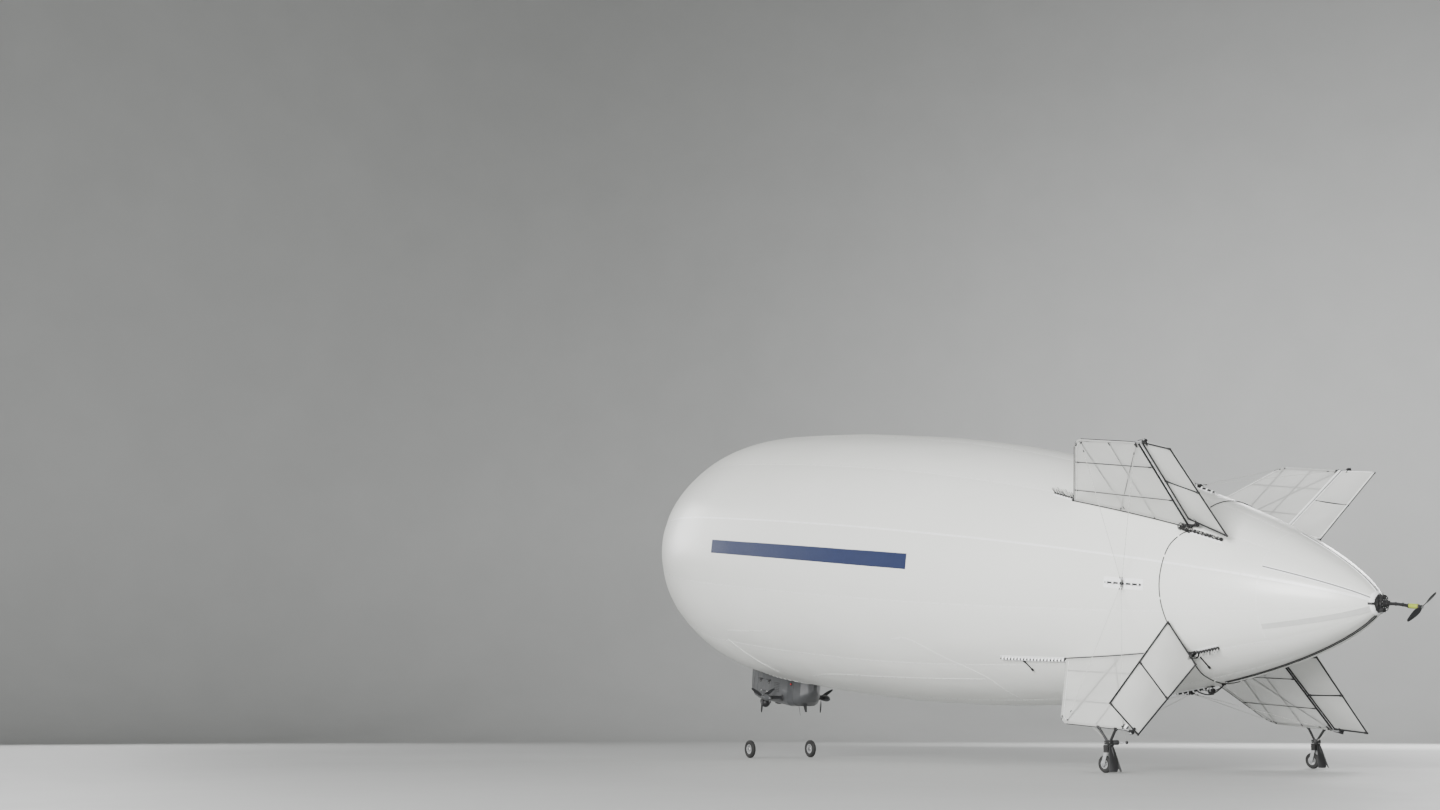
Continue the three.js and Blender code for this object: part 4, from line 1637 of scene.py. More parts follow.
@dataclass(frozen=True)
class PanelSize:
    """A moving panel's outline: each corner's height and its distance aft of the pivot."""

    pivot_root: Pair = (9.553, 0.802)
    pivot_tip: Pair = (9.596, 1.762)
    corners: tuple[Pair, ...] = (
        (0.862, -0.085),
        (1.757, -0.060),
        (1.735, 0.292),
        (0.752, 0.335),
    )
    tube: float = 0.0068
    overrun: float = 0.008
    belly: float = 0.026


class MovingPanel:
    """A panel that pivots as a whole: a membrane laced over a frame of tubes."""

    def __init__(self, name: str, angle: float, rest: float, size: PanelSize = PanelSize()) -> None:
        """Keeps the place.

        Args:
            name: The panel's name in the frame.
            angle: Its fin's angle round the hull.
            rest: Deflection in degrees as parked.
            size: Its sizes.
        """
        self.name = name
        self.size = size
        self.body = f"panel_{name}"
        self.up = math.copysign(1.0, angle)
        (x0, z0), (x1, z1) = size.pivot_root, size.pivot_tip
        self.lean = math.atan2(x1 - x0, z1 - z0)
        self.frame = (
            fin_frame(angle)
            @ Matrix.Translation((x0, 0, z0))
            @ Matrix.Rotation(self.lean, 4, "Y")
            @ Matrix.Rotation(math.radians(rest), 4, "Z")
        )

    def outline(self, inset: float = 0.0) -> list[Vector]:
        """The four corners: root fore, tip fore, tip aft and root aft.

        Args:
            inset: Distance inside the CAD outline.

        Returns:
            The corners in the pivot's frame.
        """
        cos, sin = math.cos(self.lean), math.sin(self.lean)
        corners = []
        for z, aft in self.size.corners:
            dz = z - self.size.pivot_root[1]
            dx = dz * math.tan(self.lean) + aft
            corners.append(Vector((dx * cos - dz * sin, 0, dx * sin + dz * cos)))
        moved = []
        for i, corner in enumerate(corners):
            before = (corners[i - 1] - corner).normalized()
            after = (corners[(i + 1) % 4] - corner).normalized()
            moved.append(corner + (before + after) * inset)
        return moved

    def build(self) -> None:
        """Builds the panel's pieces."""
        self.frame_tubes()
        self.membrane()

    def frame_tubes(self) -> None:
        """The frame, the mid rib, the two ends of the shaft and their collars."""
        sketch = Sketch()
        size = self.size
        a, b, c, d = self.outline(size.tube)
        for start, end, over in ((a, b, size.overrun), (d, c, size.overrun), (a, d, 0), (b, c, 0)):
            way = (end - start).normalized() * over
            sketch.tube([start - way, end + way], size.tube, 12, 0)
        fore, aft = a.lerp(b, 0.5), d.lerp(c, 0.5)
        sketch.tube([fore, aft], size.tube * 0.95, 10, 0)
        for start, end in ((fore, aft), (aft, fore), (a, d), (b, c), (c, b), (d, a)):
            way = (end - start).normalized()
            sketch.tube([start - way * 0.006, start + way * 0.026], size.tube * 1.35, 12, 1)
        low = 0.0108
        high = (size.pivot_tip[1] + 0.001 - size.pivot_root[1]) / math.cos(self.lean) - 0.0008
        for start, end in ((low, a.z + 0.020), (b.z - 0.020, high)):
            sketch.tube([(0, 0, start), (0, 0, end)], 0.0068, 14, 2)
        root_z = a.z + (d.z - a.z) * a.x / (a.x - d.x)
        for z, half, radius in (
            (low + 0.010, 0.006, 0.011),
            (root_z, 0.016, 0.0105),
            (b.z - 0.004, 0.014, 0.0105),
        ):
            sketch.turned([(-half, radius), (half, radius)], 18, 1, facing((0, 0, z), (0, 0, 1)))
        frame = sketch.build(f"panel_tubes_{self.name}", [CARBON, BLACK, STEEL], self.frame)
        mount(frame, self.body, Surface.CARBON)

    def membrane(self) -> None:
        """The film over the frame's upper face, its hem and the cord that laces it."""
        sketch = Sketch()
        size = self.size
        up = self.up
        a, b, c, d = self.outline(0.0)
        rows = []
        for v in spread(0, 1, 37):
            row = []
            for u in spread(0, 1, 25):
                point = a.lerp(b, v).lerp(d.lerp(c, v), u)
                half = abs(math.sin(math.tau * v)) ** 0.7
                chordwise = math.sin(math.pi * u) ** 0.8
                shape = chordwise * (0.25 + 0.75 * half) * math.sin(math.pi * v) ** 0.3
                row.append(point + Vector((0, up * (size.tube + 0.0007 - size.belly * shape), 0)))
            rows.append(row)
        sketch.grid(rows, 0)
        sketch.grid([[p + Vector((0, up * 0.0009, 0)) for p in row] for row in rows], 0)
        centre = (a + b + c + d) / 4
        lift = up * (size.tube + 0.0018)
        for start, end in ((a, b), (b, c), (c, d), (d, a)):
            inward = (centre - (start + end) / 2).normalized() * 0.012
            count = max(int((end - start).length / 0.022) * 2 + 1, 5)
            lace = []
            for k, t in enumerate(spread(0.02, 0.98, count)):
                out = 1.3 if k % 2 else 0.2
                lace.append(start.lerp(end, t) + inward * out + Vector((0, lift + up * 0.0008, 0)))
            sketch.tube(lace, 0.0011, 5, 2)
            band = [
                [start.lerp(end, t) + inward * s + Vector((0, lift, 0)) for s in (0.0, 1.5)]
                for t in spread(0.01, 0.99, 12)
            ]
            sketch.grid(band, 1)
        finishes = [PANEL_FILM, TAPE, CORD]
        skin = sketch.build(f"panel_film_{self.name}", finishes, self.frame, sharp=60)
        mount(skin, self.body, Surface.FILM, self.body)


# Harness


class Harness:
    """The cables laid on the tail and the camera that hangs from them."""

    ring_way = (
        (-180, 9.40),
        (-158, 9.425),
        (-132, 9.470),
        (-112, 9.395),
        (-90, 9.352),
        (-66, 9.362),
        (-55, 9.420),
        (-48, 9.470),
        (-24, 9.44),
        (0, 9.425),
        (24, 9.445),
        (48, 9.470),
        (55, 9.420),
        (66, 9.362),
        (90, 9.352),
        (112, 9.395),
        (132, 9.470),
        (158, 9.425),
        (180, 9.40),
    )

    camera_station = 9.245

    def build(self) -> None:
        """Builds the cables and the camera."""
        self.ring()
        self.belly_run()
        self.camera()

    def ring(self) -> None:
        """The cable round the hull, held by taped tabs."""
        sketch = Sketch()
        way = smoothed([(x, a) for a, x in self.ring_way], 240)[:-1]
        line = []
        for k, (x, a) in enumerate(way):
            ripple = 0.004 * noise.noise(Vector((k * 0.11, 3.0, 0.0)))
            line.append(HULL.at(x + ripple, a, 0.0046))
        sketch.tube(line, 0.004, 8, 0, closed=True)
        for k in range(8, 239, 14):
            (x0, a0), (x1, a1) = way[k - 1], way[k + 1]
            seat = HULL.seat(*way[k], (x1 - x0, a1 - a0))
            arch(sketch, seat, 0.0062, 0.0095, 0.018, 1)
            for side in (-1, 1):
                low = (-0.009, side * 0.013 - 0.007, -0.002)
                sketch.block(low, (0.009, side * 0.013 + 0.007, 0.0016), 1, seat)
        mount(sketch.build("harness_ring", [CABLE, SEAM], SHIP), HULL_BODY, Surface.CABLE, "cable_ring")

    def belly_run(self) -> None:
        """The sleeve along the belly with the cables in it."""
        sketch = Sketch()
        run = course((9.455, 176.0), (10.835, 176.0), 60)
        HULL.ribbon(sketch, run, 0.030, 0.003, 0, across=3)
        for angle in (-1.0, 1.0):
            line = []
            for x, a in run:
                shift = angle * 0.85 / max(HULL.radius_at(x), 0.12)
                line.append(HULL.at(x, a + shift, 0.0048))
            sketch.tube(line, 0.0043, 7, 1)
        sleeve = sketch.build("belly_sleeve", [GREY_SLEEVE, CABLE], SHIP)
        mount(sleeve, HULL_BODY, Surface.CABLE, "belly_cable")

    def camera(self) -> None:
        """The small camera under its slack loop of cable."""
        sketch = Sketch()
        seat = HULL.seat(self.camera_station, 180.0)
        sketch.block((-0.03, -0.022, 0.0), (0.03, 0.022, 0.006), 0, seat)
        sketch.block((-0.026, -0.02, 0.022), (0.026, 0.02, 0.060), 0, seat)
        for y in (-0.0205, 0.0205):
            plate = [(-0.012, 0.004), (0.012, 0.004), (0.008, 0.046), (-0.008, 0.046)]
            sketch.plate(plate, 0.003, 2, seat @ Matrix.Translation((0, y, 0)))
        barrel = [(0.058, 0.016), (0.066, 0.016), (0.072, 0.014), (0.072, 0.010), (0.064, 0.009)]
        sketch.turned(barrel, 24, 0, seat @ TO_Z)
        sketch.turned([(0.062, 0.010), (0.067, 0.009), (0.069, 0.004)], 20, 1, seat @ TO_Z)
        body = sketch.build("belly_camera_body", [BLACK, GLASS, ALUMINIUM], SHIP, bevel=0.001)
        mount(body, HULL_BODY, Surface.BLACK, "belly_camera")
        loop = Sketch()
        way = [(-0.17, 0.0, 0.004), (-0.13, 0.012, 0.03), (-0.05, 0.02, 0.062), (0.03, 0.03, 0.07)]
        way += [(0.10, 0.022, 0.045), (0.14, 0.01, 0.018), (0.13, -0.02, 0.006)]
        loop.tube(through(way, 50), 0.0055, 9, 0, turn=seat)
        back = [(-0.17, 0.0, 0.004), (-0.12, -0.03, 0.012), (-0.04, -0.034, 0.034)]
        back += [(0.05, -0.03, 0.03), (0.13, -0.02, 0.006)]
        loop.tube(through(back, 40), 0.0045, 9, 0, turn=seat)
        for x0, y0 in ((-0.165, 0.0), (0.132, -0.012)):
            loop.block((x0 - 0.012, y0 - 0.014, -0.002), (x0 + 0.012, y0 + 0.014, 0.012), 1, seat)
        slack = loop.build("belly_cable_loop", [CABLE, BLACK], SHIP)
        mount(slack, HULL_BODY, Surface.CABLE)


# Propellers and the tail unit


@dataclass(frozen=True)
class PropellerSize:
    """A propeller's sizes."""

    radius: float
    hub: float
    length: float
    chord: float
    blades: int
    hand: int = 1


@dataclass(frozen=True)
class Propeller:
    """A propeller on its own x axis, with the first blade along z."""

    name: str
    size: PropellerSize
    frame: Matrix

    stations = (
        (0.06, 0.40, 50, 0.40),
        (0.22, 0.86, 42, 0.18),
        (0.45, 1.0, 28, 0.12),
        (0.7, 0.84, 19, 0.10),
        (0.9, 0.6, 14, 0.09),
        (0.97, 0.42, 12.5, 0.085),
        (1.0, 0.20, 12, 0.08),
    )

    def build(self) -> None:
        """Builds blades, hub, spinner and bolts as one turning piece."""
        sketch = Sketch()
        size = self.size
        for turn in rounds(size.blades):
            sketch.grid(self.blade(), 0, wrap=True, caps=True, turn=turn)
        half = size.length / 2
        hub = [
            (-half, size.hub * 0.55),
            (-half, size.hub * 0.8),
            (-half * 0.7, size.hub * 0.95),
            (0.0, size.hub),
            (half * 0.55, size.hub * 0.96),
            (half * 0.7, size.hub * 0.7),
        ]
        sketch.turned(hub, 32, 1)
        cone = [(half * 0.6, size.hub * 0.72), (half * 0.8, size.hub * 0.55), (half, size.hub * 0.25)]
        sketch.turned(cone, 28, 2)
        for k in range(4):
            turn = math.pi / 4 + math.pi / 2 * k
            at = (half * 0.6, size.hub * 0.82 * math.cos(turn), size.hub * 0.82 * math.sin(turn))
            bolt(sketch, at, (1, 0, 0), size.hub * 0.1, 2)
        finishes = [CARBON, BLACK, ALUMINIUM]
        piece = sketch.build(f"{self.name}_blades", finishes, self.frame, sharp=50)
        mount(piece, self.name, Surface.CARBON, self.name)

    def blade(self) -> list[list[Vector]]:
        """The sections of one blade from the hub out."""
        rows = []
        shape = through([s[:3] for s in self.stations], 26)
        depths = smoothed([(s[0], s[3]) for s in self.stations], 26)
        for p, (_, depth) in zip(shape, depths):
            out, width, turn = p.x * self.size.radius, p.y * self.size.chord, math.radians(p.z)
            row = []
            for way in turns(16):
                along = 0.5 * math.cos(way)
                camber = 0.06 * (1 - 4 * along * along)
                fullness = 1 + 0.5 * math.cos(way + math.pi)
                across = 0.5 * math.sin(way) * fullness * 0.8 + camber / depth * 0.8
                u, v = along * width, across * depth * width
                x = u * math.sin(turn) + v * math.cos(turn)
                y = u * math.cos(turn) - v * math.sin(turn)
                row.append(Vector((x, self.size.hand * y, out)))
            rows.append(row[:: self.size.hand])
        return rows


@dataclass(frozen=True)
class TailSize:
    """Stations and radii of the unit at the tail's end."""

    cap_start: float = 10.838
    cap_end: float = 10.905
    cap: float = 0.047
    boom: float = 0.0135
    boom_end: float = 11.116
    motor: float = 0.0200
    sleeve_end: float = 11.192
    motor_end: float = 11.206
    rest: float = -56.5


@dataclass(frozen=True)
class TailUnit:
    """The tail's end fitting, its boom and motor, and the pusher propeller."""

    size: TailSize = TailSize()

    def build(self) -> None:
        """Builds the pieces from the cap aft."""
        self.cap()
        self.boom()
        self.motor()
        prop = PropellerSize(0.210, 0.014, 0.024, 0.044, 2, hand=-1)
        turn = Matrix.Rotation(math.radians(self.size.rest), 4, "X")
        frame = SHIP @ Matrix.Translation((self.size.motor_end + 0.013, 0, 0)) @ turn
        Propeller("tail_propeller", prop, frame).build()

    def cap(self) -> None:
        """The end fitting in its white collar, with blocks, a hoop and its cables."""
        sketch = Sketch()
        size = self.size
        start, end = size.cap_start, size.cap_end
        rim = HULL.radius_at(start)
        collar = [
            (start - 0.006, rim + 0.001),
            (start + 0.002, rim + 0.004),
            (start + 0.012, 0.0885),
            (start + 0.024, 0.0725),
            (start + 0.027, 0.060),
        ]
        sketch.turned(collar, 56, 3)
        shell = [
            (start + 0.020, 0.0640),
            (start + 0.026, 0.0665),
            (start + 0.036, 0.0625),
            (start + 0.046, 0.0540),
            (end - 0.012, size.cap + 0.002),
            (end - 0.002, size.cap - 0.001),
            (end, size.cap - 0.006),
        ]
        sketch.turned(shell, 48, 0)
        sketch.turned([(start + 0.024, 0.0685), (start + 0.033, 0.0675)], 48, 4)
        sketch.block((end - 0.032, -0.020, size.cap - 0.012), (end - 0.002, 0.020, size.cap + 0.022), 0)
        sketch.block((end - 0.040, -0.067, -0.020), (end - 0.010, -0.040, 0.022), 0)
        sketch.block((end - 0.028, -0.030, -0.066), (end + 0.004, 0.012, -0.036), 0)
        sketch.block((end - 0.036, 0.040, -0.018), (end - 0.012, 0.064, 0.020), 4)
        for k in range(8):
            turn = math.tau * (k + 0.5) / 8
            at = (end - 0.001, 0.033 * math.sin(turn), 0.033 * math.cos(turn))
            bolt(sketch, at, (1, 0, 0), 0.0035, 1)
        hoop = [
            (end - 0.018, 0.017 * math.cos(t), size.cap + 0.020 + 0.022 * math.sin(t))
            for t in spread(0, math.pi, 14)
        ]
        sketch.tube(hoop, 0.0030, 8, 2)
        fore = Vector((start - 0.008, -0.103, -0.008))
        plug = [Vector((end - 0.030, -0.058, -0.004)), Vector((start + 0.018, -0.094, -0.006)), fore]
        sketch.tube(plug, 0.0095, 10, 0)
        dice = random.Random("tail ties")
        for _ in range(14):
            turn = dice.uniform(0, math.tau)
            way = []
            for step, out in ((0.0, 0.066), (0.012, 0.080), (0.030, 0.074), (0.046, 0.045)):
                here = turn + dice.uniform(-0.35, 0.35)
                way.append((start + 0.024 + step, -out * math.sin(here), out * math.cos(here)))
            sketch.tube(through(way, 12), dice.uniform(0.0022, 0.0042), 6, 4)
        finishes = [BLACK, ALUMINIUM, CORD, TAPE, CABLE]
        cap = sketch.build("tail_end_fitting", finishes, SHIP, bevel=0.0012)
        mount(cap, HULL_BODY, Surface.BLACK, "tail_cap")

    def boom(self) -> None:
        """The boom with its flanges, a taped cable and its connectors."""
        sketch = Sketch()
        size = self.size
        start, end = size.cap_end, size.boom_end
        bow = [(start, 0, -0.002), (lerp(start, end, 0.45), 0, 0.007), (end, 0, 0)]
        sketch.tube(through(bow, 20), size.boom, 18, 0)
        flange = [(start + 0.0005, 0.026), (start + 0.009, 0.026), (start + 0.016, 0.0155)]
        sketch.turned(flange, 28, 1)
        sketch.turned([(end - 0.018, 0.0145), (end - 0.010, 0.0185), (end - 0.0005, 0.0185)], 28, 1)
        cable = [(start - 0.004, -0.040, 0.004), (start + 0.026, -0.020, 0.004)]
        for t in (0.3, 0.5, 0.7):
            cable.append((lerp(start, end, t), -0.0165, 0.004 + 0.002 * math.sin(9 * t)))
        cable += [(end - 0.02, -0.0165, -0.004), (end + 0.004, -0.0185, -0.004)]
        sketch.tube(through(cable, 40), 0.0030, 7, 2)
        for share, radius in ((0.14, 0.0205), (0.46, 0.0162), (0.74, 0.0160)):
            x = lerp(start, end, share)
            z = 0.007 * math.sin(math.pi * share)
            ring = [(-0.006, radius - 0.003), (-0.004, radius)]
            ring += [(0.004, radius), (0.006, radius - 0.003)]
            sketch.turned(ring, 20, 1, Matrix.Translation((x, 0, z)))
        x = lerp(start, end, 0.14)
        sketch.block((x - 0.014, -0.010, 0.012), (x + 0.012, 0.010, 0.027), 1)
        boom = sketch.build("tail_boom_tube", [CARBON, BLACK, CABLE], SHIP)
        mount(boom, HULL_BODY, Surface.CARBON, "tail_boom")

    def motor(self) -> None:
        """The motor in its lime sleeve, with the dark bell at its end."""
        sketch = Sketch()
        size = self.size
        start, sleeve, end, r = size.boom_end, size.sleeve_end, size.motor_end, size.motor
        can = [(start + 0.0006, r - 0.003), (start + 0.002, r - 0.0006), (start + 0.005, r)]
        can += [(sleeve - 0.003, r), (sleeve - 0.001, r - 0.001), (sleeve, r - 0.003)]
        sketch.turned(can, 36, 0)
        bell = [(sleeve - 0.002, r - 0.0045), (sleeve + 0.004, r - 0.0045), (end - 0.004, r - 0.008)]
        bell += [(end - 0.001, 0.007)]
        sketch.turned(bell, 36, 1)
        sketch.turned([(sleeve - 0.0005, r - 0.0035), (sleeve + 0.0015, r - 0.0035)], 30, 2)
        for x in (start + 0.010, sleeve - 0.010):
            sketch.turned([(x - 0.0012, r + 0.0003), (x + 0.0012, r + 0.0003)], 36, 0)
        motor = sketch.build("tail_motor_can", [LIME, BLACK, COPPER], SHIP)
        mount(motor, HULL_BODY, Surface.LIME, "tail_motor")


# Gear


@dataclass(frozen=True)
class WheelSize:
    """A wheel's sizes."""

    radius: float
    width: float
    bore: float
    spokes: int = 5


@dataclass(frozen=True)
class Wheel:
    """A wheel about the y axis of its frame: tyre, rim with spokes and bearing caps."""

    name: str
    size: WheelSize
    frame: Matrix

    def build(self) -> None:
        """Builds the wheel as one turning piece."""
        sketch = Sketch()
        r, half = self.size.radius, self.size.width / 2
        wall = [(0.62, 0.52), (0.92, 0.62), (1.0, 0.75), (0.93, 0.89), (0.72, 0.96), (0.5, 0.985)]
        tyre = [(-half * x, r * out) for x, out in wall]
        groove = [(-0.05, 0.998), (-0.035, 0.975), (0.035, 0.975), (0.05, 0.998)]
        for middle in spread(-0.4, 0.4, 5):
            tyre += [(half * (middle + x), r * out) for x, out in groove]
        tyre += [(half * x, r * out) for x, out in reversed(wall)]
        sketch.turned(tyre, 56, 0, ring=True)
        rim = [(-0.7, 0.54), (-0.66, 0.48), (0, 0.43), (0.66, 0.48), (0.7, 0.54)]
        rim += [(0.55, 0.57), (-0.55, 0.57)]
        sketch.turned([(half * x, r * out) for x, out in rim], 44, 1, ring=True)
        side = [(0.8, self.size.bore), (0.8, r * 0.2), (0.3, r * 0.23)]
        hub = [(-half * x, out) for x, out in side] + [(half * x, out) for x, out in reversed(side)]
        sketch.turned(hub, 32, 1, ring=True)
        for turn in rounds(self.size.spokes):
            spoke = [(0, 0, r * 0.18), (0, 0, r * 0.32), (0, 0, r * 0.47)]
            sketch.tube(spoke, lambda t: r * (0.085 - 0.03 * t), 10, 1, flat=0.6, turn=turn)
        for side in (-1, 1):
            cap = [(side * half * 0.74, self.size.bore), (side * half * 0.84, self.size.bore)]
            cap += [(side * half * 0.84, r * 0.15), (side * half * 0.74, r * 0.17)]
            sketch.turned(cap, 28, 2, ring=True)
        piece = sketch.build(f"{self.name}_tyre", [RUBBER, GREY_PAINT, STEEL], self.frame @ TO_Y)
        mount(piece, self.name, Surface.TYRE, self.name)


@dataclass(frozen=True)
class CastorSize:
    """Sizes of the castors under the lower fins' tips."""

    station: float = 9.325
    out: float = 1.762
    swivel: float = 0.241
    trail: float = 0.055
    wheel: WheelSize = WheelSize(0.070, 0.036, 0.0065)
    strut: float = 0.0110
    slope: float = 0.0864
    feet: tuple[Pair, ...] = ((9.240, 1.7854), (9.422, 1.7696))
    lines: tuple[Pair, ...] = ((9.150, 1.7925), (9.500, 1.7625))


class Castor:
    """One tail castor with its struts, damper, fork and guard."""

    def __init__(self, side: Side, size: CastorSize = CastorSize()) -> None:
        """Keeps the place.

        Args:
            side: The side of the ship.
            size: Its sizes.
        """
        self.side = side
        self.size = size
        self.fin = fin_frame(-side.value * FIN_ANGLES["lower_port"])
        tip = self.fin @ Vector((size.station, 0, size.out))
        self.base = Matrix.Translation((tip.x, tip.y, 0))
        self.name = side.label

    def build(self) -> None:
        """Builds the struts, the fork and the wheel."""
        self.leg()
        self.fork()
        size = self.size
        wheel = self.base @ Matrix.Translation((-size.trail, 0, size.wheel.radius))
        Wheel(f"tail_wheel_{self.name}", size.wheel, wheel).build()

    def leg(self) -> None:
        """The struts from the fin's tip, the swivel block and the damper beside it."""
        sketch = Sketch()
        size = self.size
        fin = self.base.inverted() @ self.fin
        top = Vector((0, 0, size.swivel + 0.006))
        for x, z in size.feet:
            seat = fin @ Matrix.Translation((x, 0, z)) @ Matrix.Rotation(size.slope, 4, "Y")
            foot = seat @ Vector((0, 0, 0.006))
            side = Vector((0.012 if x > size.station else -0.012, 0, 0))
            sketch.tube([foot, foot.lerp(top + side, 0.5), top + side], size.strut, 12, 0)
            sketch.tube([foot, foot.lerp(top + side, 0.10)], size.strut * 1.3, 12, 0)
            sketch.block((-0.016, -0.011, 0.0004), (0.016, 0.011, 0.008), 0, seat)
            for dx in (-0.011, 0.011):
                at = seat @ Vector((dx, 0, 0.008))
                bolt(sketch, at, seat.to_3x3() @ Vector((0, 0, 1)), 0.003, 1)
        z = size.swivel
        sketch.block((-0.034, -0.021, z - 0.013), (0.034, 0.021, z + 0.017), 0)
        sketch.block((-0.018, -0.026, z - 0.008), (0.018, 0.026, z + 0.010), 0)
        pivot = [(-0.0145, 0.0195), (0.020, 0.0195), (0.024, 0.014)]
        sketch.turned(pivot, 28, 0, facing((0, 0, z), (0, 0, 1)))
        for dx in (-0.026, 0.026):
            for side in (-1, 1):
                bolt(sketch, (dx, side * 0.021, z + 0.002), (0, side, 0), 0.0035, 1)
        way = Vector((0.62, -self.side.value * 0.78, 0.0)).normalized()
        start = Vector((0, 0, z + 0.003))
        barrel = [(0.020, 0.0195), (0.074, 0.0195), (0.078, 0.018), (0.080, 0.010)]
        sketch.turned(barrel, 28, 0, facing(start, way))
        for x in (0.046, 0.062):
            sketch.turned([(x - 0.002, 0.0208), (x + 0.002, 0.0208)], 28, 0, facing(start, way))
        sketch.tube([start + way * 0.078, start + way * 0.134], 0.0062, 12, 2)
        sketch.tube([start + way * 0.090, start + way * 0.112], 0.0082, 12, 2)
        knob = [(0.142 - 0.013 * math.cos(t), 0.0135 * math.sin(t)) for t in spread(0.25, 2.9, 9)]
        sketch.turned(knob, 20, 0, facing(start, way))
        for (x, z), end in zip(size.lines, (top, start + way * 0.14)):
            sketch.tube([fin @ Vector((x, 0, z)), end], 0.0016, 6, 3)
        finishes = [BLACK, STEEL, GREY_PAINT, CORD]
        leg = sketch.build(f"tail_struts_{self.name}", finishes, self.base, bevel=0.0015)
        mount(leg, HULL_BODY, Surface.ALUMINIUM, f"tail_leg_{self.name}")

    def fork(self) -> None:
        """The fork with its ribbed stem, crown, legs, axle and guard."""
        sketch = Sketch()
        size = self.size
        arm = size.wheel.width / 2 + 0.008
        crown = size.swivel - 0.0158
        r = size.wheel.radius
        sketch.tube([(0, 0, crown - 0.008), (0, 0, size.swivel + 0.004)], 0.0083, 18, 1)
        sketch.block((-0.034, -arm - 0.006, crown - 0.012), (0.022, arm + 0.006, crown), 2)
        for side in (-1, 1):
            y = side * arm
            sketch.block((-0.036, y - 0.005, crown - 0.062), (0.004, y + 0.005, crown - 0.006), 3)
            for k in range(4):
                z = crown - 0.016 - 0.013 * k
                sketch.block((-0.038, y - 0.0065, z - 0.003), (0.006, y + 0.0065, z + 0.003), 2)
            leg = [(-0.036, crown - 0.058), (-0.002, crown - 0.058), (-size.trail + 0.020, r + 0.004)]
            bend = [(0.018 * math.cos(t), 0.018 * math.sin(t)) for t in spread(0.3, -3.4, 12)]
            leg += [(-size.trail + x, r + z) for x, z in bend]
            leg += [(-size.trail - 0.018, r + 0.006)]
            sketch.plate(leg, 0.006, 0, Matrix.Translation((0, y, 0)))
            bolt(sketch, (-size.trail, side * (arm + 0.003), r), (0, side, 0), 0.0085, 0)
        sketch.tube([(-size.trail, -arm, r), (-size.trail, arm, r)], 0.0058, 14, 1)
        rows = []
        for t in spread(0, 1, 14):
            row = []
            half = lerp(0.016, 0.070, t**0.85)
            for s in spread(-1, 1, 13):
                notch = 0.034 * t**6 * max(0.0, 1 - abs(s - 0.1) / 0.28)
                z = lerp(crown - 0.004, 0.012, t) + notch
                x = lerp(0.022, 0.082, t) - 0.030 * t * s * s
                row.append(Vector((x, half * s, z)))
            rows.append(row)
        sketch.grid(rows, 2)
        sketch.grid([[p + Vector((0.003, 0, 0)) for p in row] for row in rows], 2)
        rim = [row[0] for row in rows] + rows[-1][1:-1] + [row[-1] for row in reversed(rows)]
        sketch.tube([p + Vector((0.0015, 0, 0)) for p in rim], 0.0030, 7, 2)
        brace = [(0.012, 0, crown - 0.006), (0.030, 0, crown - 0.030), (0.048, 0, 0.12)]
        sketch.tube(through(brace, 10), 0.007, 10, 2)
        finishes = [GREY_PAINT, STEEL, BLACK, RUBBER]
        fork = sketch.build(f"tail_fork_plates_{self.name}", finishes, self.base, bevel=0.0008)
        mount(fork, f"castor_{self.name}", Surface.ALUMINIUM, f"tail_fork_{self.name}")


@dataclass(frozen=True)
class FrontGearSize:
    """Sizes of the leaf spring gear under the gondola."""

    station: float = 2.400
    top: float = -1.8803
    track: float = 0.924
    leaf: float = 0.070
    thick: float = 0.012
    clamp: float = 0.085
    wheel: WheelSize = WheelSize(0.110, 0.050, 0.0096, 6)


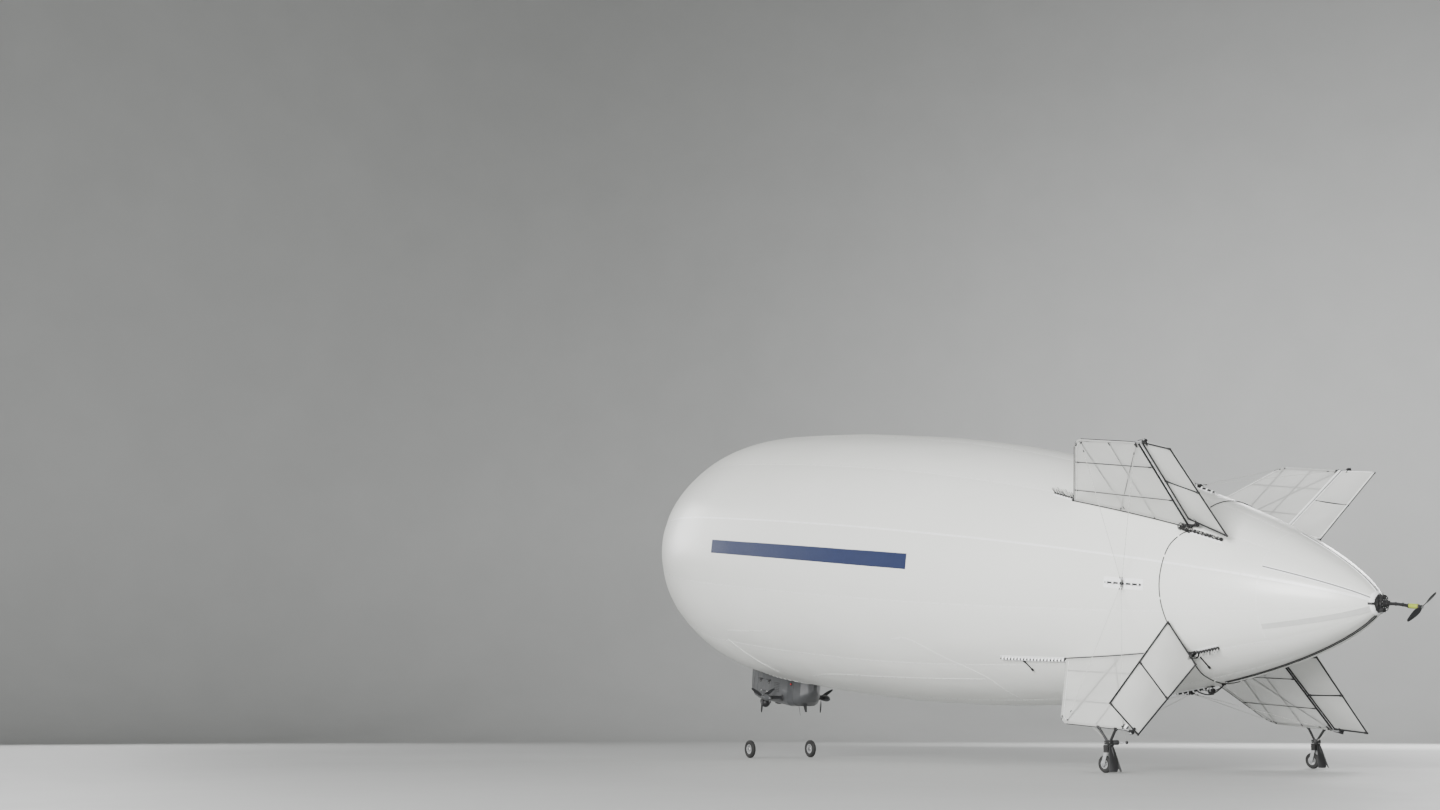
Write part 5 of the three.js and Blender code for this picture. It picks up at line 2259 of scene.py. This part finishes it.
@dataclass(frozen=True)
class FrontGear:
    """A bent leaf across the gondola's floor with a wheel at each end."""

    size: FrontGearSize = FrontGearSize()

    def build(self) -> None:
        """Builds the leaf and the wheels."""
        size = self.size
        low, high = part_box("front_wheel_port")
        hub_world = (low + high) / 2
        hub = (SHIP.inverted() @ hub_world).z
        inner = size.track / 2 - size.wheel.width / 2 - 0.008
        drop = hub - size.top
        half = [(0.0, 0.0), (0.09, 0.0), (0.15, -0.002), (inner - 0.07, drop * 0.42)]
        half += [(inner - 0.012, drop * 0.74), (inner - 0.006, drop * 1.04)]
        right = [Vector((0, y, z)) for y, z in smoothed(half, 40)]
        line = [Vector((0, -p.y, p.z)) for p in reversed(right[1:])] + right
        corners = [(-1, -0.7), (-0.93, -1), (0.93, -1), (1, -0.7)]
        corners += [(-a, -b) for a, b in corners]
        rows = []
        for i, p in enumerate(line):
            way = (line[min(i + 1, len(line) - 1)] - line[max(i - 1, 0)]).normalized()
            out = Vector((0, -way.z, way.y)) * (size.thick / 2)
            # These heights count from the hull's axis and not from size.top, so the leaf lies
            # inside the envelope. The clamps below count from size.top, the stubs from the hub.
            middle = p + Vector((size.station, 0, -size.thick / 2 - 0.0003))
            share = abs(i / (len(line) - 1) - 0.5) * 2
            wide = size.leaf / 2 * (1 - 0.25 * share**2)
            rows.append([middle + Vector((wide * a, 0, 0)) + out * b for a, b in corners])
        sketch = Sketch()
        sketch.grid(rows, 0, wrap=True, caps=True)
        for side in (-1, 1):
            stub = [(size.station, side * y, hub) for y in (inner - 0.012, size.track / 2 + 0.028)]
            sketch.tube(stub, 0.0088, 16, 1)
            lug = [(-0.004, 0.019), (0.010, 0.019), (0.014, 0.015)]
            sketch.turned(lug, 24, 1, facing((size.station, side * inner, hub), (0, side, 0)))
            bolt(sketch, (size.station, side * (size.track / 2 + 0.022), hub), (0, side, 0), 0.010, 1)
            for x in (-0.022, 0.022):
                at = (size.station + x, side * size.clamp, size.top - size.thick - 0.0075)
                bolt(sketch, at, (0, 0, -1), 0.007, 1)
            low = (size.station - 0.045, side * size.clamp - 0.02, size.top - size.thick - 0.008)
            high = (size.station + 0.045, side * size.clamp + 0.02, size.top - size.thick + 0.001)
            sketch.block(low, high, 2)
        leg = sketch.build("front_leaf_spring", [CARBON, STEEL, BLACK], SHIP, bevel=0.0008)
        mount(leg, HULL_BODY, Surface.CARBON, "front_leg")
        for side in Side:
            frame = Matrix.Translation((hub_world.x, side.value * size.track / 2, hub_world.z))
            Wheel(f"front_wheel_{side.label}", size.wheel, frame).build()


# Gondola


@dataclass(frozen=True)
class GondolaSize:
    """The gondola's sections and the sizes of what it carries."""

    top: float = -1.40
    wall: float = 0.010
    sections: tuple[Quad, ...] = (
        (1.720, 0.030, -1.560, 0.020),
        (1.760, 0.095, -1.650, 0.060),
        (1.820, 0.150, -1.750, 0.090),
        (1.900, 0.192, -1.825, 0.090),
        (1.990, 0.215, -1.862, 0.090),
        (2.080, 0.225, -1.880, 0.090),
        (2.800, 0.225, -1.880, 0.090),
        (2.900, 0.200, -1.860, 0.090),
        (2.990, 0.150, -1.805, 0.080),
        (3.060, 0.080, -1.725, 0.040),
        (3.095, 0.026, -1.660, 0.015),
    )
    door: Quad = (2.100, 2.420, -1.780, -1.610)
    middle: float = -1.62
    joints: Pair = (1.99, 2.90)
    vents: Pair = (2.49, 2.61)
    lamp: Pair = (2.86, -1.60)
    knuckle: float = 0.007
    battery: Quad = (2.460, 0.200, 0.260, 0.160)
    thrust: Triple = (2.700, -1.790, 0.450)
    turret: Quad = (1.960, -1.850, 0.092, 0.062)

    @property
    def widest(self) -> Triple:
        """Half width, bottom and corner radius of the straight middle."""
        return max(self.sections, key=lambda section: section[1])[1:]

    @property
    def hinge(self) -> Pair:
        """The y and z of the hatch's hinge line."""
        return -self.widest[0] - self.knuckle - 0.001, self.door[3] + self.knuckle


@dataclass(frozen=True)
class Gondola:
    """The gondola's shell with its hatch, battery, thrusters and fittings."""

    size: GondolaSize = GondolaSize()

    def section(self, x: float) -> Triple:
        """Half width, bottom and corner radius at a station."""
        known = self.size.sections
        for (x0, *low), (x1, *high) in zip(known, known[1:]):
            if x <= x1:
                share = max((x - x0) / (x1 - x0), 0.0)
                return tuple(lerp(a, b, share) for a, b in zip(low, high))
        return known[-1][1:]

    def ring(self, x: float, inset: float) -> list[Vector]:
        """One section from the port top round the floor to the starboard top.

        Args:
            x: Station.
            inset: Distance inside the outer face.

        Returns:
            The section's points.
        """
        half, bottom, corner = self.section(x)
        half, bottom = half - inset, bottom + inset
        corner = max(min(corner - inset, half - 0.001), 0.004)
        low, high = self.size.door[2:]
        walls = [self.size.top, high, lerp(high, low, 0.5), low]
        full = self.size.widest[1] + self.size.widest[2]
        top = self.size.top
        scale = (bottom + corner - top) / (full - top)
        heights = [top + (z - top) * scale for z in walls]
        arc = [
            (half - corner + corner * math.cos(t), bottom + corner * (1 - math.sin(t)))
            for t in spread(0, math.pi / 2, 8)
        ]
        right = [(half, z) for z in heights] + arc
        return [Vector((x, -y, z)) for y, z in right] + [Vector((x, y, z)) for y, z in reversed(right)]

    def build(self) -> None:
        """Builds the gondola from its shell to its thrusters."""
        self.shell()
        self.hatch()
        self.battery()
        self.fittings()
        self.curtain()
        self.thrusters()
        self.turret()

    def shell(self) -> None:
        """The two skins, the doorway's rim and its seal."""
        sketch = Sketch()
        size = self.size
        start, end = size.door[:2]
        stations = sorted({x for x, *_ in size.sections} | {start, end, *spread(1.735, 3.085, 46)})
        stations = [x for x in stations if not 0 < start - x < 0.01 and not 0 < x - end < 0.01]
        for inset in (0.0, size.wall):
            rows = [self.ring(x, inset) for x in stations]
            rows[0] = [p + Vector((inset, 0, 0)) for p in rows[0]]
            rows[-1] = [p - Vector((inset, 0, 0)) for p in rows[-1]]
            for i, x in enumerate(stations[:-1]):
                if start - 1e-6 <= x < end - 1e-6:
                    sketch.grid([row[:2] for row in rows[i : i + 2]], 0)
                    sketch.grid([row[3:] for row in rows[i : i + 2]], 0)
                else:
                    sketch.grid(rows[i : i + 2], 0)
            for row in (rows[0], rows[-1]):
                sketch.add(row, [tuple(range(len(row)))], 0)
        x0, x1, low, high = size.door
        y = -size.widest[0]
        corners = [(x0, low), (x1, low), (x1, high), (x0, high)]
        rim = [[Vector((x, y + depth, z)) for x, z in corners] for depth in (0.0, size.wall)]
        sketch.grid(rim, 0, wrap=True)
        seal = [Vector((x, y + size.wall + 0.002, z)) for x, z in corners]
        sketch.tube(seal, 0.004, 8, 1, closed=True)
        shell = sketch.build("gondola_body", [PAINT, RUBBER], SHIP, sharp=40)
        mount(shell, HULL_BODY, Surface.GONDOLA, "gondola_shell")

    def hatch(self) -> None:
        """The door with its stiffening rim, latches and its hinge leaves."""
        sketch = Sketch()
        x0, x1, low, high = self.size.door
        side = self.size.widest[0]
        gap = 0.003
        sketch.block((x0 + gap, -side, low + gap), (x1 - gap, -side + 0.008, high - gap), 0)
        raised = (x1 - 0.035, -side + 0.001, high - 0.045)
        sketch.block((x0 + 0.035, -side - 0.0018, low + 0.035), raised, 0)
        knuckle = self.size.knuckle
        axis_y, axis_z = self.size.hinge
        for x in (x0 + 0.06, x1 - 0.06):
            sketch.tube([(x - 0.025, axis_y, axis_z), (x + 0.025, axis_y, axis_z)], knuckle, 16, 1)
            leaf = (x + 0.020, -side + 0.0005, axis_z - 0.002)
            sketch.block((x - 0.020, -side - 0.004, high - 0.040), leaf, 1)
            for dx in (-0.011, 0.011):
                bolt(sketch, (x + dx, -side - 0.004, high - 0.030), (0, -1, 0), 0.0028, 2)
        for x in (x0 + 0.09, x1 - 0.09):
            latch = [(-0.003, 0.013), (0.002, 0.013), (0.004, 0.011)]
            sketch.turned(latch, 24, 2, facing((x, -side, low + 0.024), (0, -1, 0)))
            bar = (x + 0.010, -side - 0.003, low + 0.027)
            sketch.block((x - 0.010, -side - 0.0075, low + 0.021), bar, 2)
        middle = (x0 + x1) / 2
        handle = [(middle - 0.04, -side, low + 0.027), (middle - 0.032, -side - 0.010, low + 0.027)]
        handle += [(middle + 0.032, -side - 0.010, low + 0.027), (middle + 0.04, -side, low + 0.027)]
        sketch.tube(through(handle, 16), 0.0042, 10, 1)
        door = sketch.build("gondola_door", [PAINT, BLACK, STEEL], SHIP, bevel=0.0015)
        mount(door, "hatch", Surface.GONDOLA, "gondola_hatch")

    def battery(self) -> None:
        """The battery pack with its straps, end plates, leads and plug."""
        sketch = Sketch()
        x, length, width, height = self.size.battery
        floor = self.size.widest[1] + self.size.wall + 0.0003
        for k in range(6):
            a = lerp(x + 0.006, x + length - 0.006, k / 6)
            b = lerp(x + 0.006, x + length - 0.006, (k + 1) / 6) - 0.003
            corner = (b, width / 2 - 0.004, floor + height - 0.006)
            sketch.block((a, -width / 2 + 0.004, floor + 0.002), corner, 0)
        for end in (x, x + length - 0.004):
            sketch.block((end, -width / 2, floor), (end + 0.004, width / 2, floor + height - 0.002), 1)
        for strap in (x + 0.03, x + length - 0.055):
            band = [(width / 2 - 0.002, floor), (width / 2 - 0.002, floor + height - 0.004)]
            loop = band + [(-y, z) for y, z in reversed(band)]
            rows = [[Vector((strap, y, z)) + Vector((dx, 0, 0)) for y, z in loop] for dx in (0, 0.022)]
            sketch.grid(rows, 2)
        lead = [(x + length, 0.05, floor + 0.09), (x + length + 0.05, 0.05, floor + 0.10)]
        lead += [(x + length + 0.09, 0.0, floor + 0.02)]
        sketch.tube(through(lead, 14), 0.004, 8, 2)
        sketch.block((x + length + 0.075, -0.02, floor), (x + length + 0.12, 0.02, floor + 0.03), 1)
        pack = sketch.build("battery_pack", [BATTERY_WRAP, BLACK, CABLE], SHIP, bevel=0.0015)
        mount(pack, HULL_BODY, Surface.BLACK, "battery_block")

    def fittings(self) -> None:
        """Hinge knuckles, panel joints, vents, lamps, aerials and the thrust tube's collars."""
        sketch = Sketch()
        x0, x1 = self.size.door[:2]
        side = self.size.widest[0]
        knuckle = self.size.knuckle
        axis_y, axis_z = self.size.hinge
        for x in (x0 + 0.06, x1 - 0.06):
            for sign in (-1, 1):
                ends = [x + sign * 0.0256, x + sign * 0.042]
                sketch.tube([(e, axis_y, axis_z) for e in ends], knuckle, 16, 0)
                low = (min(ends), axis_y, axis_z - 0.004)
                sketch.block(low, (max(ends), -side + 0.002, axis_z + 0.004), 0)
        for x in self.size.joints:
            centre = Vector((x, 0, self.size.middle))
            around = self.ring(x, 0.0)[1:-1]
            joint = [p + (p - centre).normalized() * 0.0004 for p in around]
            sketch.tube(joint, 0.0022, 6, 0)
        for sign in (-1, 1):
            for k in range(6):
                z = self.size.middle - 0.021 * k
                slat = [(x, sign * side, z) for x in self.size.vents]
                sketch.tube(slat, 0.0045, 8, 0, flat=0.8)
            tx, tz, _ = self.size.thrust
            half = self.section(tx)[0]
            collar = [(-0.006, 0.024), (0.004, 0.040), (0.014, 0.034), (0.016, 0.024)]
            sketch.turned(collar, 36, 0, facing((tx, sign * half, tz), (0, sign, 0)), ring=True)
            for turn in turns(6):
                at = (tx + 0.034 * math.cos(turn), sign * (half + 0.008), tz + 0.034 * math.sin(turn))
                bolt(sketch, at, (0, sign, 0), 0.0025, 1)
            lamp_x, lamp_z = self.size.lamp
            seat = (lamp_x, sign * (self.section(lamp_x)[0] - 0.001), lamp_z)
            lamp = facing(seat, (0, sign, 0))
            colour = 2 if sign < 0 else 3
            sketch.turned([(0, 0.019), (0.005, 0.019), (0.006, 0.014)], 24, 0, lamp)
            sketch.turned([(0.004, 0.0135), (0.010, 0.012), (0.015, 0.006)], 20, colour, lamp)
        blade = [(2.85, -1.85), (2.93, -1.845), (2.945, -1.935), (2.905, -1.938)]
        sketch.plate(blade, 0.006, 0)
        sketch.tube([(2.60, 0.10, -1.874), (2.60, 0.10, -1.890)], 0.012, 16, 0)
        sketch.tube([(2.60, 0.10, -1.886), (2.64, 0.11, -2.02)], lambda t: 0.003 - 0.0015 * t, 8, 0)
        finishes = [BLACK, STEEL, RED_LAMP, GREEN_LAMP]
        mount(sketch.build("gondola_fittings", finishes, SHIP, bevel=0.0008), HULL_BODY, Surface.BLACK)

    def curtain(self) -> None:
        """The piping and the laced skirt where the gondola meets the hull."""
        sketch = Sketch()
        edge = []
        stations = spread(1.735, 3.08, 45)
        for sign in (-1, 1):
            run = []
            for x in stations if sign < 0 else reversed(stations):
                half = self.section(x)[0]
                turn = math.degrees(math.asin(min(half / HULL.radius_at(x), 1)))
                run.append((x, -sign * (180 - turn)))
            edge.append(run)
        for run in edge:
            sketch.tube([HULL.at(x, a, 0.004) for x, a in run], 0.008, 10, 0)
            shift = 0.95 if run[0][1] > 0 else -0.95
            HULL.ribbon(sketch, [(x, a - shift) for x, a in run], 0.055, 0.002, 1, across=2)
            for x, a in run[2:-2:3]:
                lace = [HULL.at(x, a - shift * 1.5, 0.003), HULL.at(x + 0.01, a, 0.012)]
                sketch.tube(lace, 0.0024, 6, 2)
        mount(sketch.build("gondola_skirt", [TAPE, FABRIC, CABLE], SHIP), HULL_BODY, Surface.HULL)

    def thrusters(self) -> None:
        """The tilting tube with a motor pod and a propeller at each end."""
        sketch = Sketch()
        x, z, reach = self.size.thrust
        frame = SHIP @ Matrix.Translation((x, 0, z))
        sketch.tube([(0, -reach + 0.03, 0), (0, 0, 0), (0, reach - 0.03, 0)], 0.0195, 28, 0)
        profile = [(-0.096, 0.019), (-0.092, 0.029), (-0.082, 0.037), (-0.044, 0.0395), (0.0, 0.040)]
        profile += [(0.032, 0.0357), (0.058, 0.026), (0.076, 0.0155), (0.084, 0.0055)]
        smooth = smoothed(profile, 34)
        band = [(-0.050, 0.0393), (-0.048, 0.0406), (-0.040, 0.0408), (-0.038, 0.0395)]
        for sign in (-1, 1):
            turn = Matrix.Translation((0, sign * reach, 0))
            sketch.turned(smooth, 36, 1, turn)
            sketch.turned(band, 36, 2, turn)
            for slot in rounds(6):
                sketch.block((-0.034, -0.0045, 0.038), (-0.002, 0.0045, 0.0408), 2, turn @ slot)
            sketch.tube([(0, sign * (reach - 0.075), 0), (0, sign * (reach - 0.036), 0)], 0.0235, 28, 2)
            cable = [(0.012, sign * (reach - 0.05), 0.018), (0.006, sign * (reach - 0.1), 0.0225)]
            cable += [(0.004, sign * 0.25, 0.0225)]
            sketch.tube(through(cable, 20), 0.0026, 7, 3)
        unit = sketch.build("thrust_tube_pods", [CARBON, PAINT, BLACK, CABLE], frame)
        mount(unit, "thrust_unit", Surface.CARBON, "thrust_tube")
        size = PropellerSize(0.200, 0.020, 0.028, 0.042, 3)
        for side in Side:
            at = Matrix.Translation((-0.097 - size.length / 2, side.value * reach, 0))
            spin = frame @ at @ Matrix.Rotation(math.pi, 4, "Y")
            Propeller(f"propeller_{side.label}", size, spin).build()

    def turret(self) -> None:
        """The sensor turret under the bow: mount, yoke, ball and windows."""
        sketch = Sketch()
        x, bottom, drop, ball = self.size.turret
        at = Vector((x, 0, bottom - drop))
        base = [(-drop - 0.025, 0.046), (-drop + 0.012, 0.046), (-drop + 0.020, 0.052)]
        base += [(-0.050, 0.050), (-0.044, 0.046)]
        turn = facing(at, (0, 0, -1))
        sketch.turned(base, 40, 0, turn)
        shape = [(ball * math.sin(t), ball * math.cos(t)) for t in spread(-1.1, 1.45, 26)]
        sketch.turned(shape, 40, 0, turn)
        cheek = [(-0.050, 0.0), (-0.030, -0.030), (0.010, -0.026)]
        cheek += [(0.016, 0.0), (0.010, 0.026), (-0.030, 0.030)]
        for side in (-1, 1):
            rows = [[at + Vector((b, side * y, -a)) for a, b in cheek] for y in (0.060, 0.0655)]
            sketch.grid(rows, 0, wrap=True, caps=True)
            bolt(sketch, at + Vector((0, side * 0.0655, 0)), (0, side, 0), 0.007, 1)
        for way, radius in (((-0.86, 0.16, -0.5), 0.020), ((-0.86, -0.30, -0.5), 0.012)):
            lens = facing(at + Vector(way).normalized() * (ball - 0.006), way)
            bezel = [(0, radius + 0.004), (0.0075, radius + 0.003), (0.0075, radius)]
            sketch.turned(bezel, 28, 0, lens)
            sketch.turned([(0.003, radius), (0.006, radius * 0.8), (0.007, radius * 0.3)], 28, 2, lens)
        eye = sketch.build("sensor_turret_ball", [BLACK, STEEL, GLASS], SHIP)
        mount(eye, HULL_BODY, Surface.BLACK, "sensor_turret")


# Hull fittings


class HullFittings:
    """The nose cap with its probe and the two valves low in the hull."""

    bolt_ring = 0.218
    cap_lift = 0.0095

    def build(self) -> None:
        """Builds the fittings."""
        self.nose_cap()
        self.valve("gas_valve", (5.850, -122.0), 0.130, 0.034, ALUMINIUM, Surface.ALUMINIUM)
        self.valve("air_valve", (6.420, -150.0), 0.096, 0.046, BLACK, Surface.BLACK)

    def nose_cap(self) -> None:
        """The dished cap, its rim bolts, ribs and the mooring probe."""
        sketch = Sketch()
        dish = [(-0.022, 0.030), (-0.022, 0.078), (-0.014, 0.092)]
        dish += [(HULL.nose_at(r) - self.cap_lift, r) for r in spread(0.105, 0.236, 14)]
        dish += [(dish[-1][0] + 0.003, 0.240), (dish[-1][0] + 0.008, 0.240)]
        sketch.turned(dish, 64, 0)
        probe = [(-0.064, 0.020), (-0.062, 0.025), (-0.050, 0.026), (-0.044, 0.021), (-0.036, 0.021)]
        probe += [(-0.030, 0.030), (-0.021, 0.034)]
        sketch.turned(probe, 36, 1)
        seat = HULL.nose_at(self.bolt_ring) - self.cap_lift
        for k in range(12):
            turn = math.tau * (k + 0.5) / 12
            at = (seat, self.bolt_ring * math.sin(turn), self.bolt_ring * math.cos(turn))
            bolt(sketch, at, (-1, 0, 0), 0.005, 1)
        rib = [(-0.024, 0, 0.034), (-0.020, 0, 0.085), (-0.002, 0, 0.20)]
        for turn in rounds(6):
            sketch.tube(rib, 0.005, 8, 0, turn=turn)
        mount(sketch.build("nose_dish", [BLACK, ALUMINIUM], SHIP), HULL_BODY, Surface.BLACK, "nose_cap")

    def valve(
        self,
        name: str,
        spot: Pair,
        radius: float,
        height: float,
        finish: Finish,
        surface: Surface,
    ) -> None:
        """A round valve low in the hull, with a ring of bolts, a plate and a grille.

        Args:
            name: Its node.
            spot: Station and angle.
            radius: Radius of its flange.
            height: How far it stands out.
            finish: Its main finish.
            surface: Its slot.
        """
        sketch = Sketch()
        out = HULL.normal(*spot)
        turn = facing(HULL.at(*spot), out)
        flange = [(-0.012, radius - 0.002), (0.004, radius)]
        flange += [(0.010, radius - 0.003), (0.011, radius * 0.8)]
        sketch.turned(flange, 48, 0, turn)
        plate = [(0.008, radius * 0.74), (height * 0.7, radius * 0.72), (height * 0.92, radius * 0.62)]
        sketch.turned(plate, 40, 0, turn)
        bar = [(height * 0.93, 0, radius * share) for share in (0.12, 0.6)]
        for way in rounds(12):
            at = turn @ way @ Vector((0.010, 0, radius * 0.9))
            bolt(sketch, at, out, 0.0045, 1)
            sketch.tube(bar, 0.0028, 6, 2, turn=turn @ way)
        sketch.turned([(height * 0.9, radius * 0.13), (height * 0.98, radius * 0.12)], 24, 1, turn)
        piece = sketch.build(f"{name}_flange", [finish, STEEL, BLACK], SHIP)
        mount(piece, HULL_BODY, surface, name)


# Stage


@dataclass(frozen=True)
class StageFinish(Finish):
    """The floor's and backdrop's plain grey."""

    colour: Colour = (0.44, 0.445, 0.44)

    def paint(self, sheet: ShaderSheet) -> None:
        """Writes a plain tone with a faint mottle."""
        sheet.set(
            Base_Color=sheet.mottled(sheet.noise(0.6, 4), self.colour, 0.96, (0.3, 0.7)),
            Roughness=sheet.scaled(sheet.noise(3.0, 3), 0.55, 0.7),
        )
        sheet.bump(sheet.noise(60.0, 3), 0.0006, 0.3)


class Studio:
    """Floor, backdrop, lights and camera.

    Each lamp has its name, where it stands, what it faces, its side and its power in watts.
    """

    sky = (0.84, 0.86, 0.83)
    sky_strength = 0.18
    lamps = (
        ("key", (13.9, -23.8, 7.2), (2.0, 0.0, 1.9), 11.0, 14500),
        ("top", (0.0, 2.0, 15.0), (0.0, 0.0, 2.0), 18.0, 420),
        ("far", (-7.0, 25.0, 10.0), (0.0, 0.0, 2.0), 11.0, 4200),
        ("bow", (-25.0, -8.0, 9.0), (-4.0, 0.0, 2.0), 9.0, 1900),
        ("back", (-8.0, 16.0, 12.0), (-14.0, 30.0, 6.0), 12.0, 3500),
    )
    lens = 35.141
    eye = (12.206, -10.129, 0.3396)
    look = (-0.84031432, 0.49288995, 0.22567971)

    def build(self) -> None:
        """Builds the stage."""
        self.floor()
        self.lights()
        self.camera()

    def floor(self) -> None:
        """A floor that curves up into a backdrop on every side."""
        sketch = Sketch()
        flat, bend, wall = 30.0, 8.0, 60.0
        profile = [(2.0, 0.0), (16.0, 0.0), (flat, 0.0)]
        for t in spread(0.1, math.pi / 2, 12):
            profile.append((flat + bend * math.sin(t), bend - bend * math.cos(t)))
        profile.append((flat + bend, wall))
        rows = [
            [Vector((r * math.cos(a), r * math.sin(a), z)) for a in spread(0, math.tau, 97)[:-1]]
            for r, z in profile
        ]
        sketch.grid(rows, 0, wrap=True)
        sketch.add(rows[0], [tuple(range(len(rows[0])))], 0)
        floor = sketch.build("studio_floor", [StageFinish("studio_grey")])

    def lights(self) -> None:
        """A faint sky, a wide key light from the camera's side and four softer lights."""
        world = bpy.data.worlds.new("studio")
        world.use_nodes = True
        shade = world.node_tree.nodes["Background"]
        shade.inputs["Color"].default_value = (*self.sky, 1)
        shade.inputs["Strength"].default_value = self.sky_strength
        bpy.context.scene.world = world
        for lamp in self.lamps:
            self.area(*lamp)

    def area(
        self, name: str, at: Sequence[float], to: Sequence[float], size: float, power: float
    ) -> None:
        """Adds a square area light.

        Args:
            name: Its name.
            at: Where it stands.
            to: What it faces.
            size: Length of its side.
            power: Its power in watts.
        """
        data = bpy.data.lights.new(name, "AREA")
        data.size = size
        data.energy = power
        light = bpy.data.objects.new(name, data)
        way = Vector(to) - Vector(at)
        turn = way.to_track_quat("-Z", "Y").to_matrix().to_4x4()
        light.matrix_world = Matrix.Translation(Vector(at)) @ turn
        bpy.context.scene.collection.objects.link(light)

    def camera(self) -> None:
        """The camera where the picture was taken from."""
        data = bpy.data.cameras.new("camera")
        data.lens = self.lens
        data.sensor_width = 36.0
        data.clip_end = 200.0
        camera = bpy.data.objects.new("camera", data)
        turn = Vector(self.look).to_track_quat("-Z", "Y").to_matrix().to_4x4()
        camera.matrix_world = Matrix.Translation(self.eye) @ turn
        bpy.context.scene.collection.objects.link(camera)
        bpy.context.scene.camera = camera


def main() -> None:
    """Builds the airship from the hull out, then the stage."""
    logging.basicConfig(level=logging.INFO, format="%(name)s: %(message)s")
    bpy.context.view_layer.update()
    Envelope().build()
    HullFittings().build()
    for strip in STRIPS:
        strip.build()
    for name, angle in STAY_ANGLES.items():
        StayPatch(name, angle).build()
    for name, angle in FIN_ANGLES.items():
        FixedFin(name, angle).build()
        MovingPanel(name, angle, PANEL_REST[name]).build()
    Harness().build()
    TailUnit().build()
    for side in Side:
        Castor(side).build()
    Gondola().build()
    FrontGear().build()
    Studio().build()


if __name__ == "__main__":
    main()
